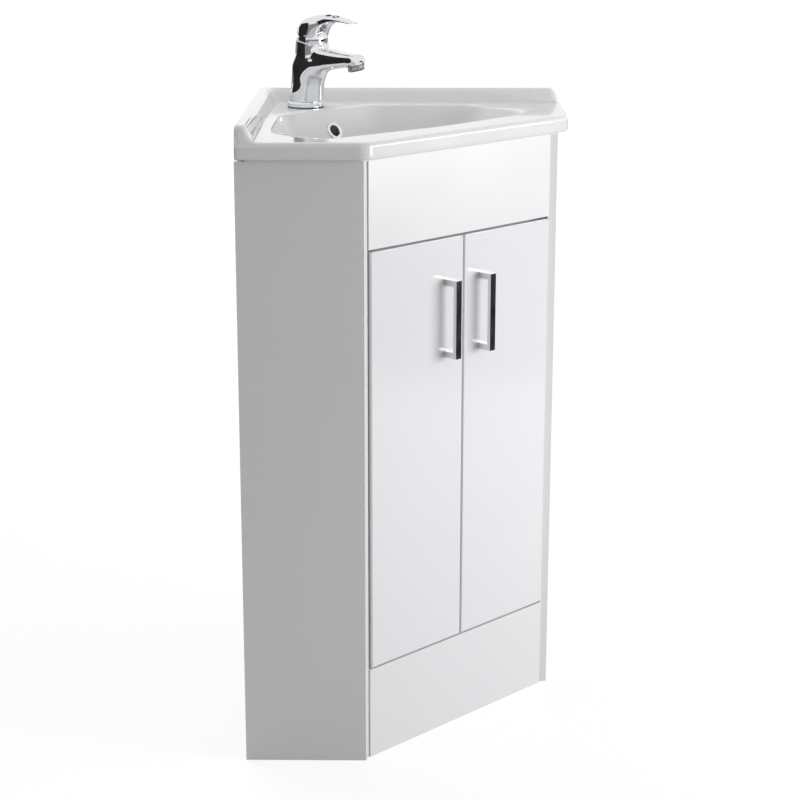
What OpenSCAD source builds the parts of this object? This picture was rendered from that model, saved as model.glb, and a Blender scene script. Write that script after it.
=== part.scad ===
// Corner vanity unit: a five-sided cupboard for a room corner, with a ceramic
// basin, a lever mixer tap, a push-button waste and two hinged doors.
// Millimetres, +Z up. The doors face -Y, the two walls meet at +Y on the
// plane X = 0, and the origin is the centre of the bounding box on the floor.

/* [Cabinet] */
// Height of the cabinet without the basin
cabinet_h = 800; // [760:1:860]
// Length of the cabinet along each wall
wall_leg = 415; // [405:1:450]
// Depth of each return panel, square to its wall
return_d = 159; // [150:1:175]
// Thickness of the return panels
return_t = 12; // [11:0.5:14]
// Thickness of the inside boards
board_t = 15; // [12:1:18]
// Height of the plinth
plinth_h = 125; // [100:1:140]
// Height of the fixed fascia above the doors
fascia_h = 112; // [105:1:125]
// Thickness of the plinth and the fascia
front_t = 16; // [15:1:18]
// How far the plinth and the fascia lie behind the doors
front_setback = 2.2; // [1:0.1:3]
// Angle of the front edge of the return panels, from the front plane
edge_angle = 27; // [25:0.5:30]

/* [Shelf and wall panels] */
// Height of the top of the shelf
shelf_z = 400; // [300:1:480]
// Gap between the shelf and the doors' back faces
shelf_setback = 45; // [30:1:70]
// Diameter of the shelf pins
shelf_pin_d = 5; // [4:0.5:6]
// Width of the pipe opening in each wall panel
pipe_open_w = 150; // [100:1:180]
// Height of the pipe opening in each wall panel
pipe_open_h = 190; // [120:1:220]
// Height of the bottom of the pipe openings
pipe_open_z = 450; // [430:1:480]
// Diameter of the wall fixing holes
wall_hole_d = 6; // [5:0.5:8]

/* [Doors] */
// Thickness of the doors
door_t = 16; // [15.5:0.5:18]
// Gap above, below and between the doors
door_gap = 3; // [2.5:0.5:4]
// Gap between each door and its return panel
hinge_gap = 2; // [2:0.1:3]
// How far the doors lie behind the outer front corners
door_setback = 0.9; // [0.5:0.1:1.5]
// Radius of the doors' front edges
door_edge_r = 1.5; // [1:0.25:2]
// Thickness of the door buffers
buffer_t = 1.5; // [1:0.25:2.5]

/* [Handles] */
// Distance between the two screws of a handle
handle_pitch = 96; // [64:1:160]
// Distance from a door's top edge to the centre of its handle
handle_drop = 105; // [70:1:280]
// Distance from a door's free edge to its handle's centre line
handle_inset = 31; // [25:1:50]
// Projection of the handles from the doors
handle_proj = 22.5; // [20:0.5:40]
// Width of the grip
grip_w = 10; // [8:0.5:14]
// Depth of the grip
grip_t = 5; // [4:0.5:8]
// Height of each leg at the grip
leg_h = 8; // [6:0.5:10]
// Width of each leg at the door
foot_w = 12; // [10:0.5:20]

/* [Hinges] */
// Distance of each hinge from its end of the door
hinge_inset = 80; // [70:1:110]
// Diameter of the hinge cups
cup_d = 35; // [35:0.5:36]
// Depth of the bore for a hinge cup
cup_depth = 12.5; // [12:0.1:12.8]
// Width of door left between its edge and the cup bore
cup_tab = 3; // [3:0.25:4]
// Distance of the hinge pin from the door's edge
pin_inset = 10; // [9.75:0.25:10.5]
// Distance of the hinge pin behind the door's front face
pin_depth = 6.9; // [6.8:0.1:7]
// Diameter of the hinge pins
hinge_pin_d = 3; // [2.5:0.1:3]
// Thickness of the hinge arms
arm_t = 2.4; // [2:0.1:2.6]

/* [Basin] */
// How far the basin stands out past the cabinet
basin_overhang = 13.5; // [10:0.5:18]
// Gap between the basin and the walls
basin_gap = 1.5; // [1:0.25:3]
// Height of the rim from the cabinet to the deck
deck_h = 25; // [22:1:32]
// Height of the upstand above the deck
upstand_h = 19.5; // [15:0.5:30]
// Thickness of the upstand at its top
upstand_t = 13; // [10:0.5:16]
// Distance over which the upstand curves down to the deck
upstand_sweep = 12; // [8:0.5:16]
// Radius of the basin's front corners
corner_r = 27; // [18:1:35]
// Depth of the bowl below the deck
bowl_depth = 113; // [108:1:116]
// Thickness of the ceramic
basin_wall = 9; // [8:0.5:10]
// Width of the deck between the bowl and the walls
bowl_wall_gap = 33.5; // [33:0.5:38]
// Distance of the bowl's front edge behind the front plane
bowl_front = 31; // [31:0.5:36]
// Distance from the tap's axis to the bowl's rear edge
tap_land = 38; // [36:0.5:42]
// How much further back the bowl's front edge is at its ends
bowl_bow = 15; // [0:1:20]
// Width of the deck beyond each front corner of the bowl
end_land = 31; // [29:0.5:41]
// Diameter of the waste hole in the bowl
waste_hole_d = 45; // [44.5:0.5:46]
// Diameter of the tap hole in the deck
tap_hole_d = 35; // [33:0.5:36]
// Diameter of the overflow hole
overflow_d = 21; // [19:0.5:22]

/* [Waste] */
// Outer diameter of the threaded part of the tail
tail_d = 41.9; // [41:0.1:42]
// Bore of the threaded part
tail_bore = 34; // [33:0.5:36]
// Length of the threaded part below the bowl's floor
thread_l = 38; // [34:1:48]
// Outer diameter of the pipe that goes into the trap
pipe_d = 32; // [31.5:0.1:32.2]
// Length of that pipe
pipe_l = 29; // [24:1:60]
// Diameter of the waste flange
flange_d = 63; // [60:1:66]
// Travel of the push-button plug
plug_travel = 8; // [5:0.5:10]

/* [Tap] */
// Distance of the tap from the corner of the walls
tap_corner_d = 98; // [98:1:106]
// Diameter of the base ring
base_ring_d = 52; // [50:0.5:54]
// Height of the base ring
base_ring_h = 7; // [5:0.5:9]
// Forward lean of the body
lean = 9.5; // [6:0.5:12]
// Height of the centre of the ball cap along the leaning axis
ball_h = 96; // [92:0.5:104]
// Diameter of the ball cap
ball_d = 42; // [41:0.5:43]
// Reach of the spout to the centre of its outlet
spout_reach = 104; // [98:1:112]
// Diameter of the outlet
aerator_d = 22; // [21:0.5:24]
// Length of the lever from the tap's axis to its tip
lever_reach = 101; // [94:1:112]

/* [Hidden] */
$fn = 48;

eps = 0.01;
side = sqrt(0.5);                                  // sine and cosine of 45 degrees
front_w = (wall_leg - return_d) * sqrt(2);         // between the outer front corners
corner_y = (wall_leg + return_d) * side;           // the walls' corner behind the front plane
proud = handle_proj - door_setback;                // the handles' reach in front of that plane
depth_mid = (corner_y - proud) / 2;                // the bounding box's centre behind the front plane
z_door = plinth_h + door_gap;
z_fascia = cabinet_h - fascia_h;
door_h = z_fascia - door_gap - z_door;
edge_w = return_t / cos(45 - edge_angle);          // width of a return panel's front edge
arris_x = edge_w * cos(edge_angle);                // its inner arris, from the outer front corner
arris_y = edge_w * sin(edge_angle);
mitre = edge_w * sin(45 - edge_angle);             // the inner face's extra length
reveal = arris_x + hinge_gap;                      // outer front corner to door edge
door_w = (front_w - 2 * reveal - door_gap) / 2;
fit_gap = 0.3;                                     // between boards that only meet
door_back = door_setback + door_t;
stop_y = door_back + buffer_t + fit_gap;           // front edge of what the doors close against
board_front_y = door_setback + front_setback;      // front face of the plinth and the fascia
handle_z = z_door + door_h - handle_drop;
pin_fit = 0.05;                                    // radial clearance of a running pin
hold_fit = 0.02;                                   // radial clearance of a fastener in its hole

// ---- places -------------------------------------------------------------

// The cabinet's own frame: X across, Y behind the front plane, Z up
module placed() {
  translate([0, -depth_mid, 0]) children();
}

// One side: 1 is the left as seen from the front, -1 the right
module on_side(s) {
  mirror([s > 0 ? 0 : 1, 0, 0]) children();
}

// Left return: X runs along the panel from its front corner to the wall, the
// room is at +Y and the inside of the cabinet at -Y
module on_return() {
  translate([-front_w / 2, 0, 0]) rotate(135) children();
}

// Left wall: X runs along the wall from the return to the walls' corner, the
// wall is at +Y and the inside of the cabinet at -Y
module on_wall() {
  translate([-wall_end_x, wall_end_y, 0]) rotate(45) children();
}
wall_end_x = front_w / 2 + return_d * side;
wall_end_y = return_d * side;

// ---- outlines -----------------------------------------------------------

// Points round the corner p between a and b with radius r, in n steps
function corner_arc(a, p, b, r, n) =
  let (u = (a - p) / norm(a - p), v = (b - p) / norm(b - p),
       half = acos(u * v) / 2,
       mid = (u + v) / norm(u + v),
       c = p + mid * r / sin(half),
       s = p + u * r / tan(half) - c,
       turn = cross([u[0], u[1]], [v[0], v[1]]) > 0 ? -1 : 1,
       sweep = turn * (180 - 2 * half))
  [for (i = [0 : n]) let (k = sweep * i / n)
    c + [s[0] * cos(k) - s[1] * sin(k), s[0] * sin(k) + s[1] * cos(k)]];

// Closed outline through the corners pts, each rounded by its radius in rs
function rounded(pts, rs, n) =
  let (m = len(pts))
  [for (i = [0 : m - 1])
    each corner_arc(pts[(i + m - 1) % m], pts[i], pts[(i + 1) % m], rs[i], n)];

// Solid through a stack of rings that all have the same number of points
module loft(rings) {
  m = len(rings[0]);
  last = len(rings) - 1;
  faces = [
    [for (i = [0 : m - 1]) m - 1 - i],
    for (j = [0 : last - 1]) for (i = [0 : m - 1]) let (k = (i + 1) % m)
      each [[j * m + i, j * m + k, (j + 1) * m + k], [j * m + i, (j + 1) * m + k, (j + 1) * m + i]],
    [for (i = [0 : m - 1]) last * m + i]
  ];
  polyhedron(points = [for (ring = rings) each ring],
             faces = [for (f = faces) [for (i = [len(f) - 1 : -1 : 0]) f[i]]]);
}

function at_height(outline, z) = [for (p = outline) [p[0], p[1], z]];
function mix(a, b, t) = a + (b - a) * t;

// Plan of the cabinet's inside, with gap to the boards and its front edge at y
module inside_plan(front_y, gap) {
  wall_line = corner_y - (board_t + gap) / side;                    // |x| + y
  return_line = front_w / 2 - (return_t + gap) / side;              // |x| - y
  x_mid = (wall_line + return_line) / 2;
  polygon([
    [-(return_line + front_y), front_y], [return_line + front_y, front_y],
    [x_mid, x_mid - return_line], [0, wall_line], [-x_mid, x_mid - return_line]
  ]);
}

// ---- fasteners ----------------------------------------------------------

// Pan-head screw from its head's seat at z = 0 down to -l
module screw(d, l, head_d, head_h) {
  rotate_extrude()
    polygon([[0, -l], [d / 2 - 0.5, -l], [d / 2, -l + 0.8], [d / 2, 0], [head_d / 2, 0],
             [head_d / 2, head_h * 0.45], [head_d / 2 - head_h * 0.6, head_h], [0, head_h]]);
}

// Hexagon nut standing on z = 0
module hex_nut(flats, bore_d, h) {
  difference() {
    cylinder(d = flats / cos(30), h = h, $fn = 6);
    translate([0, 0, -eps]) cylinder(d = bore_d, h = h + 2 * eps);
  }
}

// ---- cabinet boards -----------------------------------------------------

wall_screw_zs = [plinth_h + board_t / 2, z_fascia - 60, cabinet_h - 60];
hinge_zs = [z_door + hinge_inset, z_door + door_h - hinge_inset];
plate_s = 37;                                      // hinge plate centre behind the return's front arris
plate_pitch = 32;
plate_screw_l = 11;
plate_screw_d = 4;
shelf_pin_l = 16;
shelf_pin_grip = 8;                                // of it inside the panel
shelf_pin_xs = [60, return_d - 34];
dowel_d = 8;
dowel_l = 30;
dowel_grip = 8;                                    // of it inside the return panel
dowel_end = 60;                                    // first and last dowel from the ends of the joint
dowel_zs = [for (k = [0 : 3]) dowel_end + k * (cabinet_h - 2 * dowel_end) / 3];
board_screw_d = 4;
board_screw_l = 40;

module return_panel() {
  on_return() difference() {
    linear_extrude(cabinet_h)
      polygon([[0, 0], [return_d, 0], [return_d, -return_t], [-mitre, -return_t]]);
    for (z = hinge_zs) for (dz = [-1, 1])
      translate([plate_s - mitre, -return_t - eps, z + dz * plate_pitch / 2])
        rotate([-90, 0, 0]) cylinder(d = plate_screw_d + 2 * hold_fit, h = plate_screw_l - plate_t + 0.4);
    for (x = shelf_pin_xs)
      translate([x, -return_t - eps, shelf_z - board_t - shelf_pin_d / 2])
        rotate([-90, 0, 0]) cylinder(d = shelf_pin_d + 2 * hold_fit, h = shelf_pin_grip + eps);
    for (z = dowel_zs)
      translate([return_d - board_t / 2, -return_t - eps, z])
        rotate([-90, 0, 0]) cylinder(d = dowel_d + 2 * hold_fit, h = dowel_grip + eps);
    for (z = [plinth_block_z, fascia_block_z])
      translate([block_screw_s, -return_t - eps, z])
        rotate([-90, 0, 0]) cylinder(d = block_screw_d + 2 * hold_fit, h = block_screw_grip + eps);
  }
}

module left_return_panel() {
  color("#d9dadb") placed() on_side(1) return_panel();
}

module right_return_panel() {
  color("#d9dadb") placed() on_side(-1) return_panel();
}

// The left panel runs into the walls' corner; the right one stops at it
module wall_panel(l) {
  x0 = return_t;
  difference() {
    translate([x0, -board_t, 0]) cube([l, board_t, cabinet_h]);
    translate([x0 + (wall_leg - return_t - pipe_open_w) / 2, -board_t - eps, pipe_open_z])
      cube([pipe_open_w, board_t + 2 * eps, pipe_open_h]);
    for (z = dowel_zs)
      translate([x0 - eps, -board_t / 2, z])
        rotate([0, 90, 0]) cylinder(d = dowel_d + 2 * hold_fit, h = dowel_l - dowel_grip + eps);
    for (x = wall_hole_xs)
      translate([x, eps, wall_hole_z]) rotate([90, 0, 0]) cylinder(d = wall_hole_d, h = board_t + 2 * eps);
  }
}
wall_hole_z = z_fascia - 28;
wall_hole_xs = [75, wall_leg - 80];

module left_wall_panel() {
  color("#e9e9e8") placed() on_side(1) on_wall() difference() {
    wall_panel(wall_leg - return_t);
    for (z = wall_screw_zs)
      translate([wall_leg - board_t / 2, -board_t - eps, z])
        rotate([-90, 0, 0]) cylinder(d = board_screw_d + 2 * hold_fit, h = board_t + 2 * eps);
  }
}

module right_wall_panel() {
  color("#e9e9e8") placed() on_side(-1) on_wall() difference() {
    wall_panel(wall_leg - return_t - board_t);
    for (z = wall_screw_zs)
      translate([wall_leg - board_t + eps, -board_t / 2, z])
        rotate([0, -90, 0]) cylinder(d = board_screw_d + 2 * hold_fit, h = board_screw_l - board_t + 0.4);
  }
}

// Front corners of a board, notched for the doors' rear edges as they swing
module door_notches() {
  x = front_w / 2 - reveal - pin_inset - notch_w;
  for (s = [1, -1]) on_side(s) translate([-front_w / 2, 0]) square([front_w / 2 - x, notch_y]);
}
notch_w = 10;                                      // from the pin towards the middle
notch_y = door_setback + pin_depth + norm([pin_inset, door_t - pin_depth]) + 0.5;

module base_panel() {
  color("#efefee") placed() translate([0, 0, plinth_h]) linear_extrude(board_t) difference() {
    inside_plan(stop_y, fit_gap);
    door_notches();
  }
}

// Plinth and fascia are the same kind of board between the returns' arrises
module front_board(h) {
  w = front_w - 2 * (arris_x + fit_gap);
  translate([-w / 2, board_front_y, 0]) cube([w, front_t, h]);
}

module plinth_panel() {
  color("#f4f4f4") placed() difference() {
    front_board(plinth_h);
    block_front_holes(plinth_block_z);
  }
}

module fascia_panel() {
  color("#f4f4f4") placed() difference() {
    translate([0, 0, z_fascia]) front_board(fascia_h);
    block_front_holes(fascia_block_z);
  }
}

rail_t = 15;
rail_w = 62;
module front_rail() {
  color("#efefee") placed() translate([0, 0, z_fascia - rail_t]) linear_extrude(rail_t) intersection() {
    difference() {
      inside_plan(stop_y, fit_gap);
      door_notches();
    }
    translate([-front_w, stop_y]) square([2 * front_w, rail_w]);
  }
}

module shelf() {
  color("#efefee") placed() translate([0, 0, shelf_z - board_t])
    linear_extrude(board_t) inside_plan(door_back + shelf_setback, 1);
}

module shelf_pins() {
  color("#c9ccd0") placed() for (s = [1, -1]) on_side(s) on_return() for (x = shelf_pin_xs)
    translate([x, -return_t + shelf_pin_grip, shelf_z - board_t - shelf_pin_d / 2])
      rotate([90, 0, 0]) cylinder(d = shelf_pin_d, h = shelf_pin_l);
}

module panel_dowels() {
  color("#caa46c") placed() for (s = [1, -1]) on_side(s) on_wall() for (z = dowel_zs)
    translate([return_t - dowel_grip + 0.5, -board_t / 2, z]) rotate([0, 90, 0])
      cylinder(d = dowel_d, h = dowel_l - 1);
}

// Screws through the left wall panel into the end of the right one, heads flush
module corner_screws() {
  color("#b9bcc0") placed() on_side(-1) on_wall() for (z = wall_screw_zs)
    translate([wall_leg - board_screw_l, -board_t / 2, z]) rotate([0, 90, 0])
      cylinder(d = board_screw_d, h = board_screw_l);
}

// ---- corner blocks behind the plinth and the fascia ----------------------

block_leg = 28;
block_t = 3;
block_h = 22;
block_screw_d = 3.5;
block_screw_l = 11.5;
block_screw_grip = 9;
plinth_block_z = plinth_h - 45;
fascia_block_z = z_fascia + 30;
block_y = board_front_y + front_t;                 // back of the plinth and the fascia
block_x = front_w / 2 - return_t / side + block_y; // where that meets the return's inside
block_screw_x = block_x - block_leg * 0.6;
block_screw_s = (2 * block_y - return_t / side) * side + block_leg * 0.6;

module block_front_holes(z) {
  for (s = [1, -1]) translate([s * block_screw_x, block_y + eps, z])
    rotate([90, 0, 0]) cylinder(d = block_screw_d + 2 * hold_fit, h = block_screw_grip + eps);
}

// Angle block for the left corner: one leg on the front board, one on the return
module corner_block(z) {
  difference() {
    translate([0, 0, z - block_h / 2]) linear_extrude(block_h) intersection() {
      translate([-block_x, block_y]) {
        square([block_leg, block_t]);
        rotate(135) translate([0, -block_t]) square([block_leg, block_t]);
        polygon([[0, 0], [block_t * 3, block_t], [-block_t, block_t * 3]]);
      }
      translate([-block_x - block_leg, block_y]) square(2 * block_leg);
    }
    translate([-block_screw_x, block_y - eps, z])
      rotate([-90, 0, 0]) cylinder(d = block_screw_d + 2 * hold_fit, h = block_t + 2 * eps);
    on_return() translate([block_screw_s, -return_t + eps, z])
      rotate([90, 0, 0]) cylinder(d = block_screw_d + 2 * hold_fit, h = block_t + 2 * eps);
  }
}

module corner_blocks() {
  color("#f0efe9") placed() for (s = [1, -1]) on_side(s) {
    corner_block(plinth_block_z);
    corner_block(fascia_block_z);
  }
}

module block_screws() {
  color("#b9bcc0") placed() for (s = [1, -1]) on_side(s) for (z = [plinth_block_z, fascia_block_z]) {
    translate([-block_screw_x, block_y + block_t, z]) rotate([-90, 0, 0])
      screw(block_screw_d, block_screw_l, 6.5, 2);
    on_return() translate([block_screw_s, -return_t - block_t, z]) rotate([90, 0, 0])
      screw(block_screw_d, block_screw_l, 6.5, 2);
  }
}

// ---- doors --------------------------------------------------------------

module on_door() {                                 // left door's hinge edge, front face, bottom
  translate([-front_w / 2 + reveal, door_setback, z_door]) children();
}
handle_x = door_w - handle_inset;                  // from the hinge edge
handle_screw_d = 4;
handle_screw_grip = 12;

module door() {
  on_door() difference() {
    union() {
      translate([0, door_edge_r, 0]) cube([door_w, door_t - door_edge_r, door_h]);
      translate([door_edge_r, 0, door_edge_r])
        cube([door_w - 2 * door_edge_r, door_edge_r + eps, door_h - 2 * door_edge_r]);
      for (x = [door_edge_r, door_w - door_edge_r])
        translate([x, door_edge_r, 0]) cylinder(r = door_edge_r, h = door_h);
    }
    for (dz = [-1, 1]) translate([handle_x, -eps, handle_z - z_door + dz * handle_pitch / 2])
      rotate([-90, 0, 0]) cylinder(d = handle_screw_d + 2 * hold_fit, h = door_t + 2 * eps);
    for (z = hinge_zs) translate([cup_tab + cup_d / 2, door_t + eps, z - z_door]) {
      rotate([90, 0, 0]) cylinder(d = cup_d, h = cup_depth + eps, $fn = 96);
      for (dz = [-1, 1]) translate([cup_screw_x, 0, dz * cup_screw_pitch / 2])
        rotate([90, 0, 0]) cylinder(d = cup_screw_d + 2 * hold_fit, h = cup_screw_grip + eps);
    }
  }
}

module left_door() {
  color("#f7f7f7") placed() on_side(1) door();
}

module right_door() {
  color("#f7f7f7") placed() on_side(-1) door();
}

// D handle: a flat grip on two legs that widen towards the door
module handle() {
  on_door() translate([handle_x, 0, handle_z - z_door]) difference() {
    union() {
      translate([-grip_w / 2, -handle_proj, -handle_pitch / 2 - leg_h / 2])
        cube([grip_w, grip_t, handle_pitch + leg_h]);
      for (dz = [-1, 1]) translate([0, 0, dz * handle_pitch / 2 - leg_h / 2])
        linear_extrude(leg_h) polygon([
          [-foot_w / 2, 0], [-foot_w / 2, -1], [-grip_w / 2, -handle_proj + grip_t],
          [grip_w / 2, -handle_proj + grip_t], [foot_w / 2, -1], [foot_w / 2, 0]
        ]);
    }
    for (dz = [-1, 1]) translate([0, eps, dz * handle_pitch / 2])
      rotate([90, 0, 0]) cylinder(d = handle_screw_d + 2 * hold_fit, h = handle_screw_grip + eps);
  }
}

module left_handle() {
  color("#c8ccd2") placed() on_side(1) handle();
}

module right_handle() {
  color("#c8ccd2") placed() on_side(-1) handle();
}

module handle_screws() {
  on_door() for (dz = [-1, 1]) translate([handle_x, door_t, handle_z - z_door + dz * handle_pitch / 2])
    rotate([-90, 0, 0]) screw(handle_screw_d, door_t + handle_screw_grip - 1, 8, 2.5);
}

module left_handle_screws() {
  color("#b9bcc0") placed() on_side(1) handle_screws();
}

module right_handle_screws() {
  color("#b9bcc0") placed() on_side(-1) handle_screws();
}

buffer_d = 8;
module door_buffers() {
  on_door() for (z = [board_t / 2 - door_gap, door_h - rail_t / 2 + door_gap])
    translate([door_w - 12, door_t, z]) rotate([-90, 0, 0]) cylinder(d = buffer_d, h = buffer_t);
}

module left_door_buffers() {
  color("#e6e8ea") placed() on_side(1) door_buffers();
}

module right_door_buffers() {
  color("#e6e8ea") placed() on_side(-1) door_buffers();
}

// ---- hinges -------------------------------------------------------------
// Each hinge is drawn round its pin: X along the door from the hinge edge,
// Y behind the door's front face, Z along the pin.

cup_x = cup_tab + cup_d / 2 - pin_inset;           // cup's centre from the pin
cup_back = door_t - pin_depth;                     // door's back face from the pin
cup_floor = cup_back - cup_depth;
cup_wall = 1;
cup_floor_t = 0.8;
cup_flange_t = 1;
cup_screw_pitch = 48;
cup_screw_x = 5;
cup_screw_d = 3.5;
cup_screw_grip = 9;
knuckle_r = 2.3;
knuckle_h = 8;
cheek_t = 2;
cheek_gap = 0.2;
edge_sweep = norm([pin_inset, cup_back]);          // circle that the door's rear edge sweeps
arm_clear = edge_sweep + 0.45;
arm_leg_x = arm_clear + arm_t / 2;
arm_bridge_y = arm_clear + arm_t / 2;
plate_t = 2;
arm_run = 45;
// The inner arris of the return from the pin, and the pin's distance from the inside face
pin_arris = [arris_x - reveal - pin_inset, arris_y - door_setback - pin_depth];
pin_to_return = -(pin_arris[0] + pin_arris[1]) * side;
rail_h = 8.8;                                      // from the return's inside face to the arm
bend_x = (rail_h + arm_t / 2 - pin_to_return) / side - arm_bridge_y;

module on_pin(z) {
  translate([-front_w / 2 + reveal + pin_inset, door_setback + pin_depth, z]) children();
}

module hinge_cup() {
  difference() {
    union() {
      difference() {
        union() {
          translate([cup_x, cup_floor, 0]) rotate([-90, 0, 0])
            cylinder(d = cup_d - 0.1, h = cup_depth, $fn = 96);
          translate([cup_x, cup_back, 0]) rotate([-90, 0, 0])
            cylinder(d = cup_d + 3, h = cup_flange_t, $fn = 96);
          translate([cup_x + cup_screw_x - 6, cup_back, -cup_screw_pitch / 2 - 5])
            cube([12, cup_flange_t, cup_screw_pitch + 10]);
        }
        translate([cup_x, cup_floor + cup_floor_t, 0]) rotate([-90, 0, 0])
          cylinder(d = cup_d - 2 * cup_wall - 0.1, h = cup_depth + cup_flange_t, $fn = 96);
      }
      intersection() {
        translate([cup_x, cup_floor, 0]) rotate([-90, 0, 0]) cylinder(d = cup_d - 1, h = cup_depth, $fn = 96);
        for (s = [-1, 1]) translate([-4, cup_floor + cup_floor_t / 2, s > 0 ? cheek_z : -cheek_z - cheek_t])
          cube([4 + knuckle_r, knuckle_r - cup_floor - cup_floor_t / 2, cheek_t]);
      }
    }
    cylinder(d = hinge_pin_d + 2 * hold_fit, h = 2 * (cheek_z + cheek_t + eps), center = true);
    for (dz = [-1, 1]) translate([cup_x + cup_screw_x, cup_back - eps, dz * cup_screw_pitch / 2])
      rotate([-90, 0, 0]) cylinder(d = cup_screw_d + 2 * hold_fit, h = cup_flange_t + 2 * eps);
  }
}
cheek_z = knuckle_h / 2 + cheek_gap;

// Gooseneck arm: out along the cup, through its mouth and round the door's
// rear edge to the plate on the return
module hinge_arm() {
  difference() {
    union() {
      cylinder(r = knuckle_r, h = knuckle_h, center = true);
      translate([0, 0, -knuckle_h / 2]) linear_extrude(knuckle_h) {
        translate([0, -arm_t / 2]) square([arm_leg_x + arm_t / 2, arm_t]);
        translate([arm_leg_x - arm_t / 2, -arm_t / 2]) square([arm_t, arm_bridge_y + arm_t]);
      }
      translate([0, 0, -arm_w / 2]) linear_extrude(arm_w) {
        translate([bend_x, arm_bridge_y - arm_t / 2]) square([arm_leg_x + arm_t / 2 - bend_x, arm_t]);
        translate([bend_x, arm_bridge_y]) circle(d = arm_t);
        translate([bend_x, arm_bridge_y]) rotate(135) translate([0, -arm_t / 2]) square([arm_run, arm_t]);
      }
    }
    cylinder(d = hinge_pin_d + 2 * pin_fit, h = knuckle_h + 2 * eps, center = true);
    on_arm() translate([arm_screw_s, -eps, 0]) rotate([-90, 0, 0])
      cylinder(d = arm_screw_d + 2 * hold_fit, h = arm_t + 2 * eps);
  }
}
arm_w = 12;
arm_screw_d = 4;
arm_screw_s = plate_s;

// X along the return's inside face from its front arris, Y into the cabinet
module on_inner_face() {
  translate([pin_arris[0], pin_arris[1], 0]) rotate(135) mirror([0, 1, 0]) children();
}

// The same, with Y from the face that the arm sits on
module on_arm() {
  on_inner_face() translate([0, rail_h, 0]) children();
}

// Mounting plate: two wings screwed to the return and a rail that the arm sits on
module hinge_plate() {
  on_inner_face() difference() {
    union() {
      translate([plate_s - 7, 0, -plate_pitch / 2 - 6]) cube([14, plate_t, plate_pitch + 12]);
      translate([plate_s - 17, 0, -6.5]) cube([36, rail_h, 13]);
    }
    for (dz = [-1, 1]) translate([plate_s, -eps, dz * plate_pitch / 2])
      rotate([-90, 0, 0]) cylinder(d = plate_screw_d + 2 * hold_fit, h = plate_t + 2 * eps);
    translate([arm_screw_s, rail_h + eps, 0]) rotate([90, 0, 0])
      cylinder(d = arm_screw_d + 2 * hold_fit, h = arm_screw_grip + eps);
  }
}
arm_screw_grip = 6;

module hinge_pin() {
  cylinder(d = hinge_pin_d, h = 2 * (cheek_z + cheek_t) - 0.4, center = true);
}

module left_upper_hinge_cup() { color("#b7bcc2") placed() on_side(1) on_pin(hinge_zs[1]) hinge_cup(); }
module left_lower_hinge_cup() { color("#b7bcc2") placed() on_side(1) on_pin(hinge_zs[0]) hinge_cup(); }
module right_upper_hinge_cup() { color("#b7bcc2") placed() on_side(-1) on_pin(hinge_zs[1]) hinge_cup(); }
module right_lower_hinge_cup() { color("#b7bcc2") placed() on_side(-1) on_pin(hinge_zs[0]) hinge_cup(); }
module left_upper_hinge_arm() { color("#a9aeb5") placed() on_side(1) on_pin(hinge_zs[1]) hinge_arm(); }
module left_lower_hinge_arm() { color("#a9aeb5") placed() on_side(1) on_pin(hinge_zs[0]) hinge_arm(); }
module right_upper_hinge_arm() { color("#a9aeb5") placed() on_side(-1) on_pin(hinge_zs[1]) hinge_arm(); }
module right_lower_hinge_arm() { color("#a9aeb5") placed() on_side(-1) on_pin(hinge_zs[0]) hinge_arm(); }
module left_upper_hinge_plate() { color("#9da3aa") placed() on_side(1) on_pin(hinge_zs[1]) hinge_plate(); }
module left_lower_hinge_plate() { color("#9da3aa") placed() on_side(1) on_pin(hinge_zs[0]) hinge_plate(); }
module right_upper_hinge_plate() { color("#9da3aa") placed() on_side(-1) on_pin(hinge_zs[1]) hinge_plate(); }
module right_lower_hinge_plate() { color("#9da3aa") placed() on_side(-1) on_pin(hinge_zs[0]) hinge_plate(); }

module left_hinge_pins() {
  color("#8e949b") placed() on_side(1) for (z = hinge_zs) on_pin(z) hinge_pin();
}

module right_hinge_pins() {
  color("#8e949b") placed() on_side(-1) for (z = hinge_zs) on_pin(z) hinge_pin();
}

module cup_screws() {
  for (z = hinge_zs) on_pin(z) for (dz = [-1, 1])
    translate([cup_x + cup_screw_x, cup_back + cup_flange_t, dz * cup_screw_pitch / 2])
      rotate([-90, 0, 0]) screw(cup_screw_d, cup_screw_grip, 6.5, 1.8);
}

module left_cup_screws() {
  color("#b9bcc0") placed() on_side(1) cup_screws();
}

module right_cup_screws() {
  color("#b9bcc0") placed() on_side(-1) cup_screws();
}

module hinge_plate_screws() {
  color("#b9bcc0") placed() for (s = [1, -1]) on_side(s) for (z = hinge_zs) on_pin(z) {
    on_inner_face() for (dz = [-1, 1]) translate([plate_s, plate_t, dz * plate_pitch / 2])
      rotate([-90, 0, 0]) screw(plate_screw_d, plate_screw_l, 7.5, 2);
    on_arm() translate([arm_screw_s, arm_t, 0]) rotate([-90, 0, 0])
      screw(arm_screw_d, arm_t + arm_screw_grip - 0.5, 7, 2.4);
  }
}

// ---- basin --------------------------------------------------------------

deck_z = cabinet_h + deck_h;
tap_y = corner_y - tap_corner_d;
bowl_rear = tap_y - tap_land;                      // behind the front plane, as the next ones
waste_y = (bowl_front + bowl_rear) / 2;
bowl_half_w = front_w / 2 + basin_overhang / side + bowl_front + bowl_bow - end_land;
arc_n = 6;
bowl_n = 5;

// Outline of the basin, its front and return edges moved in by s
function basin_outline(s) =
  let (front = -basin_overhang + s,
       ret = front_w / 2 + (basin_overhang - s) / side,             // |x| - y
       wall = corner_y - basin_gap / side,                          // |x| + y
       wx = (wall + ret) / 2, wy = (wall - ret) / 2,
       fr = max(corner_r - s, 2))
  rounded([[-(ret + front), front], [ret + front, front], [wx, wy], [0, wall], [-wx, wy]],
          [fr, fr, 1.5, 1.5, 1.5], arc_n);

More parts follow.
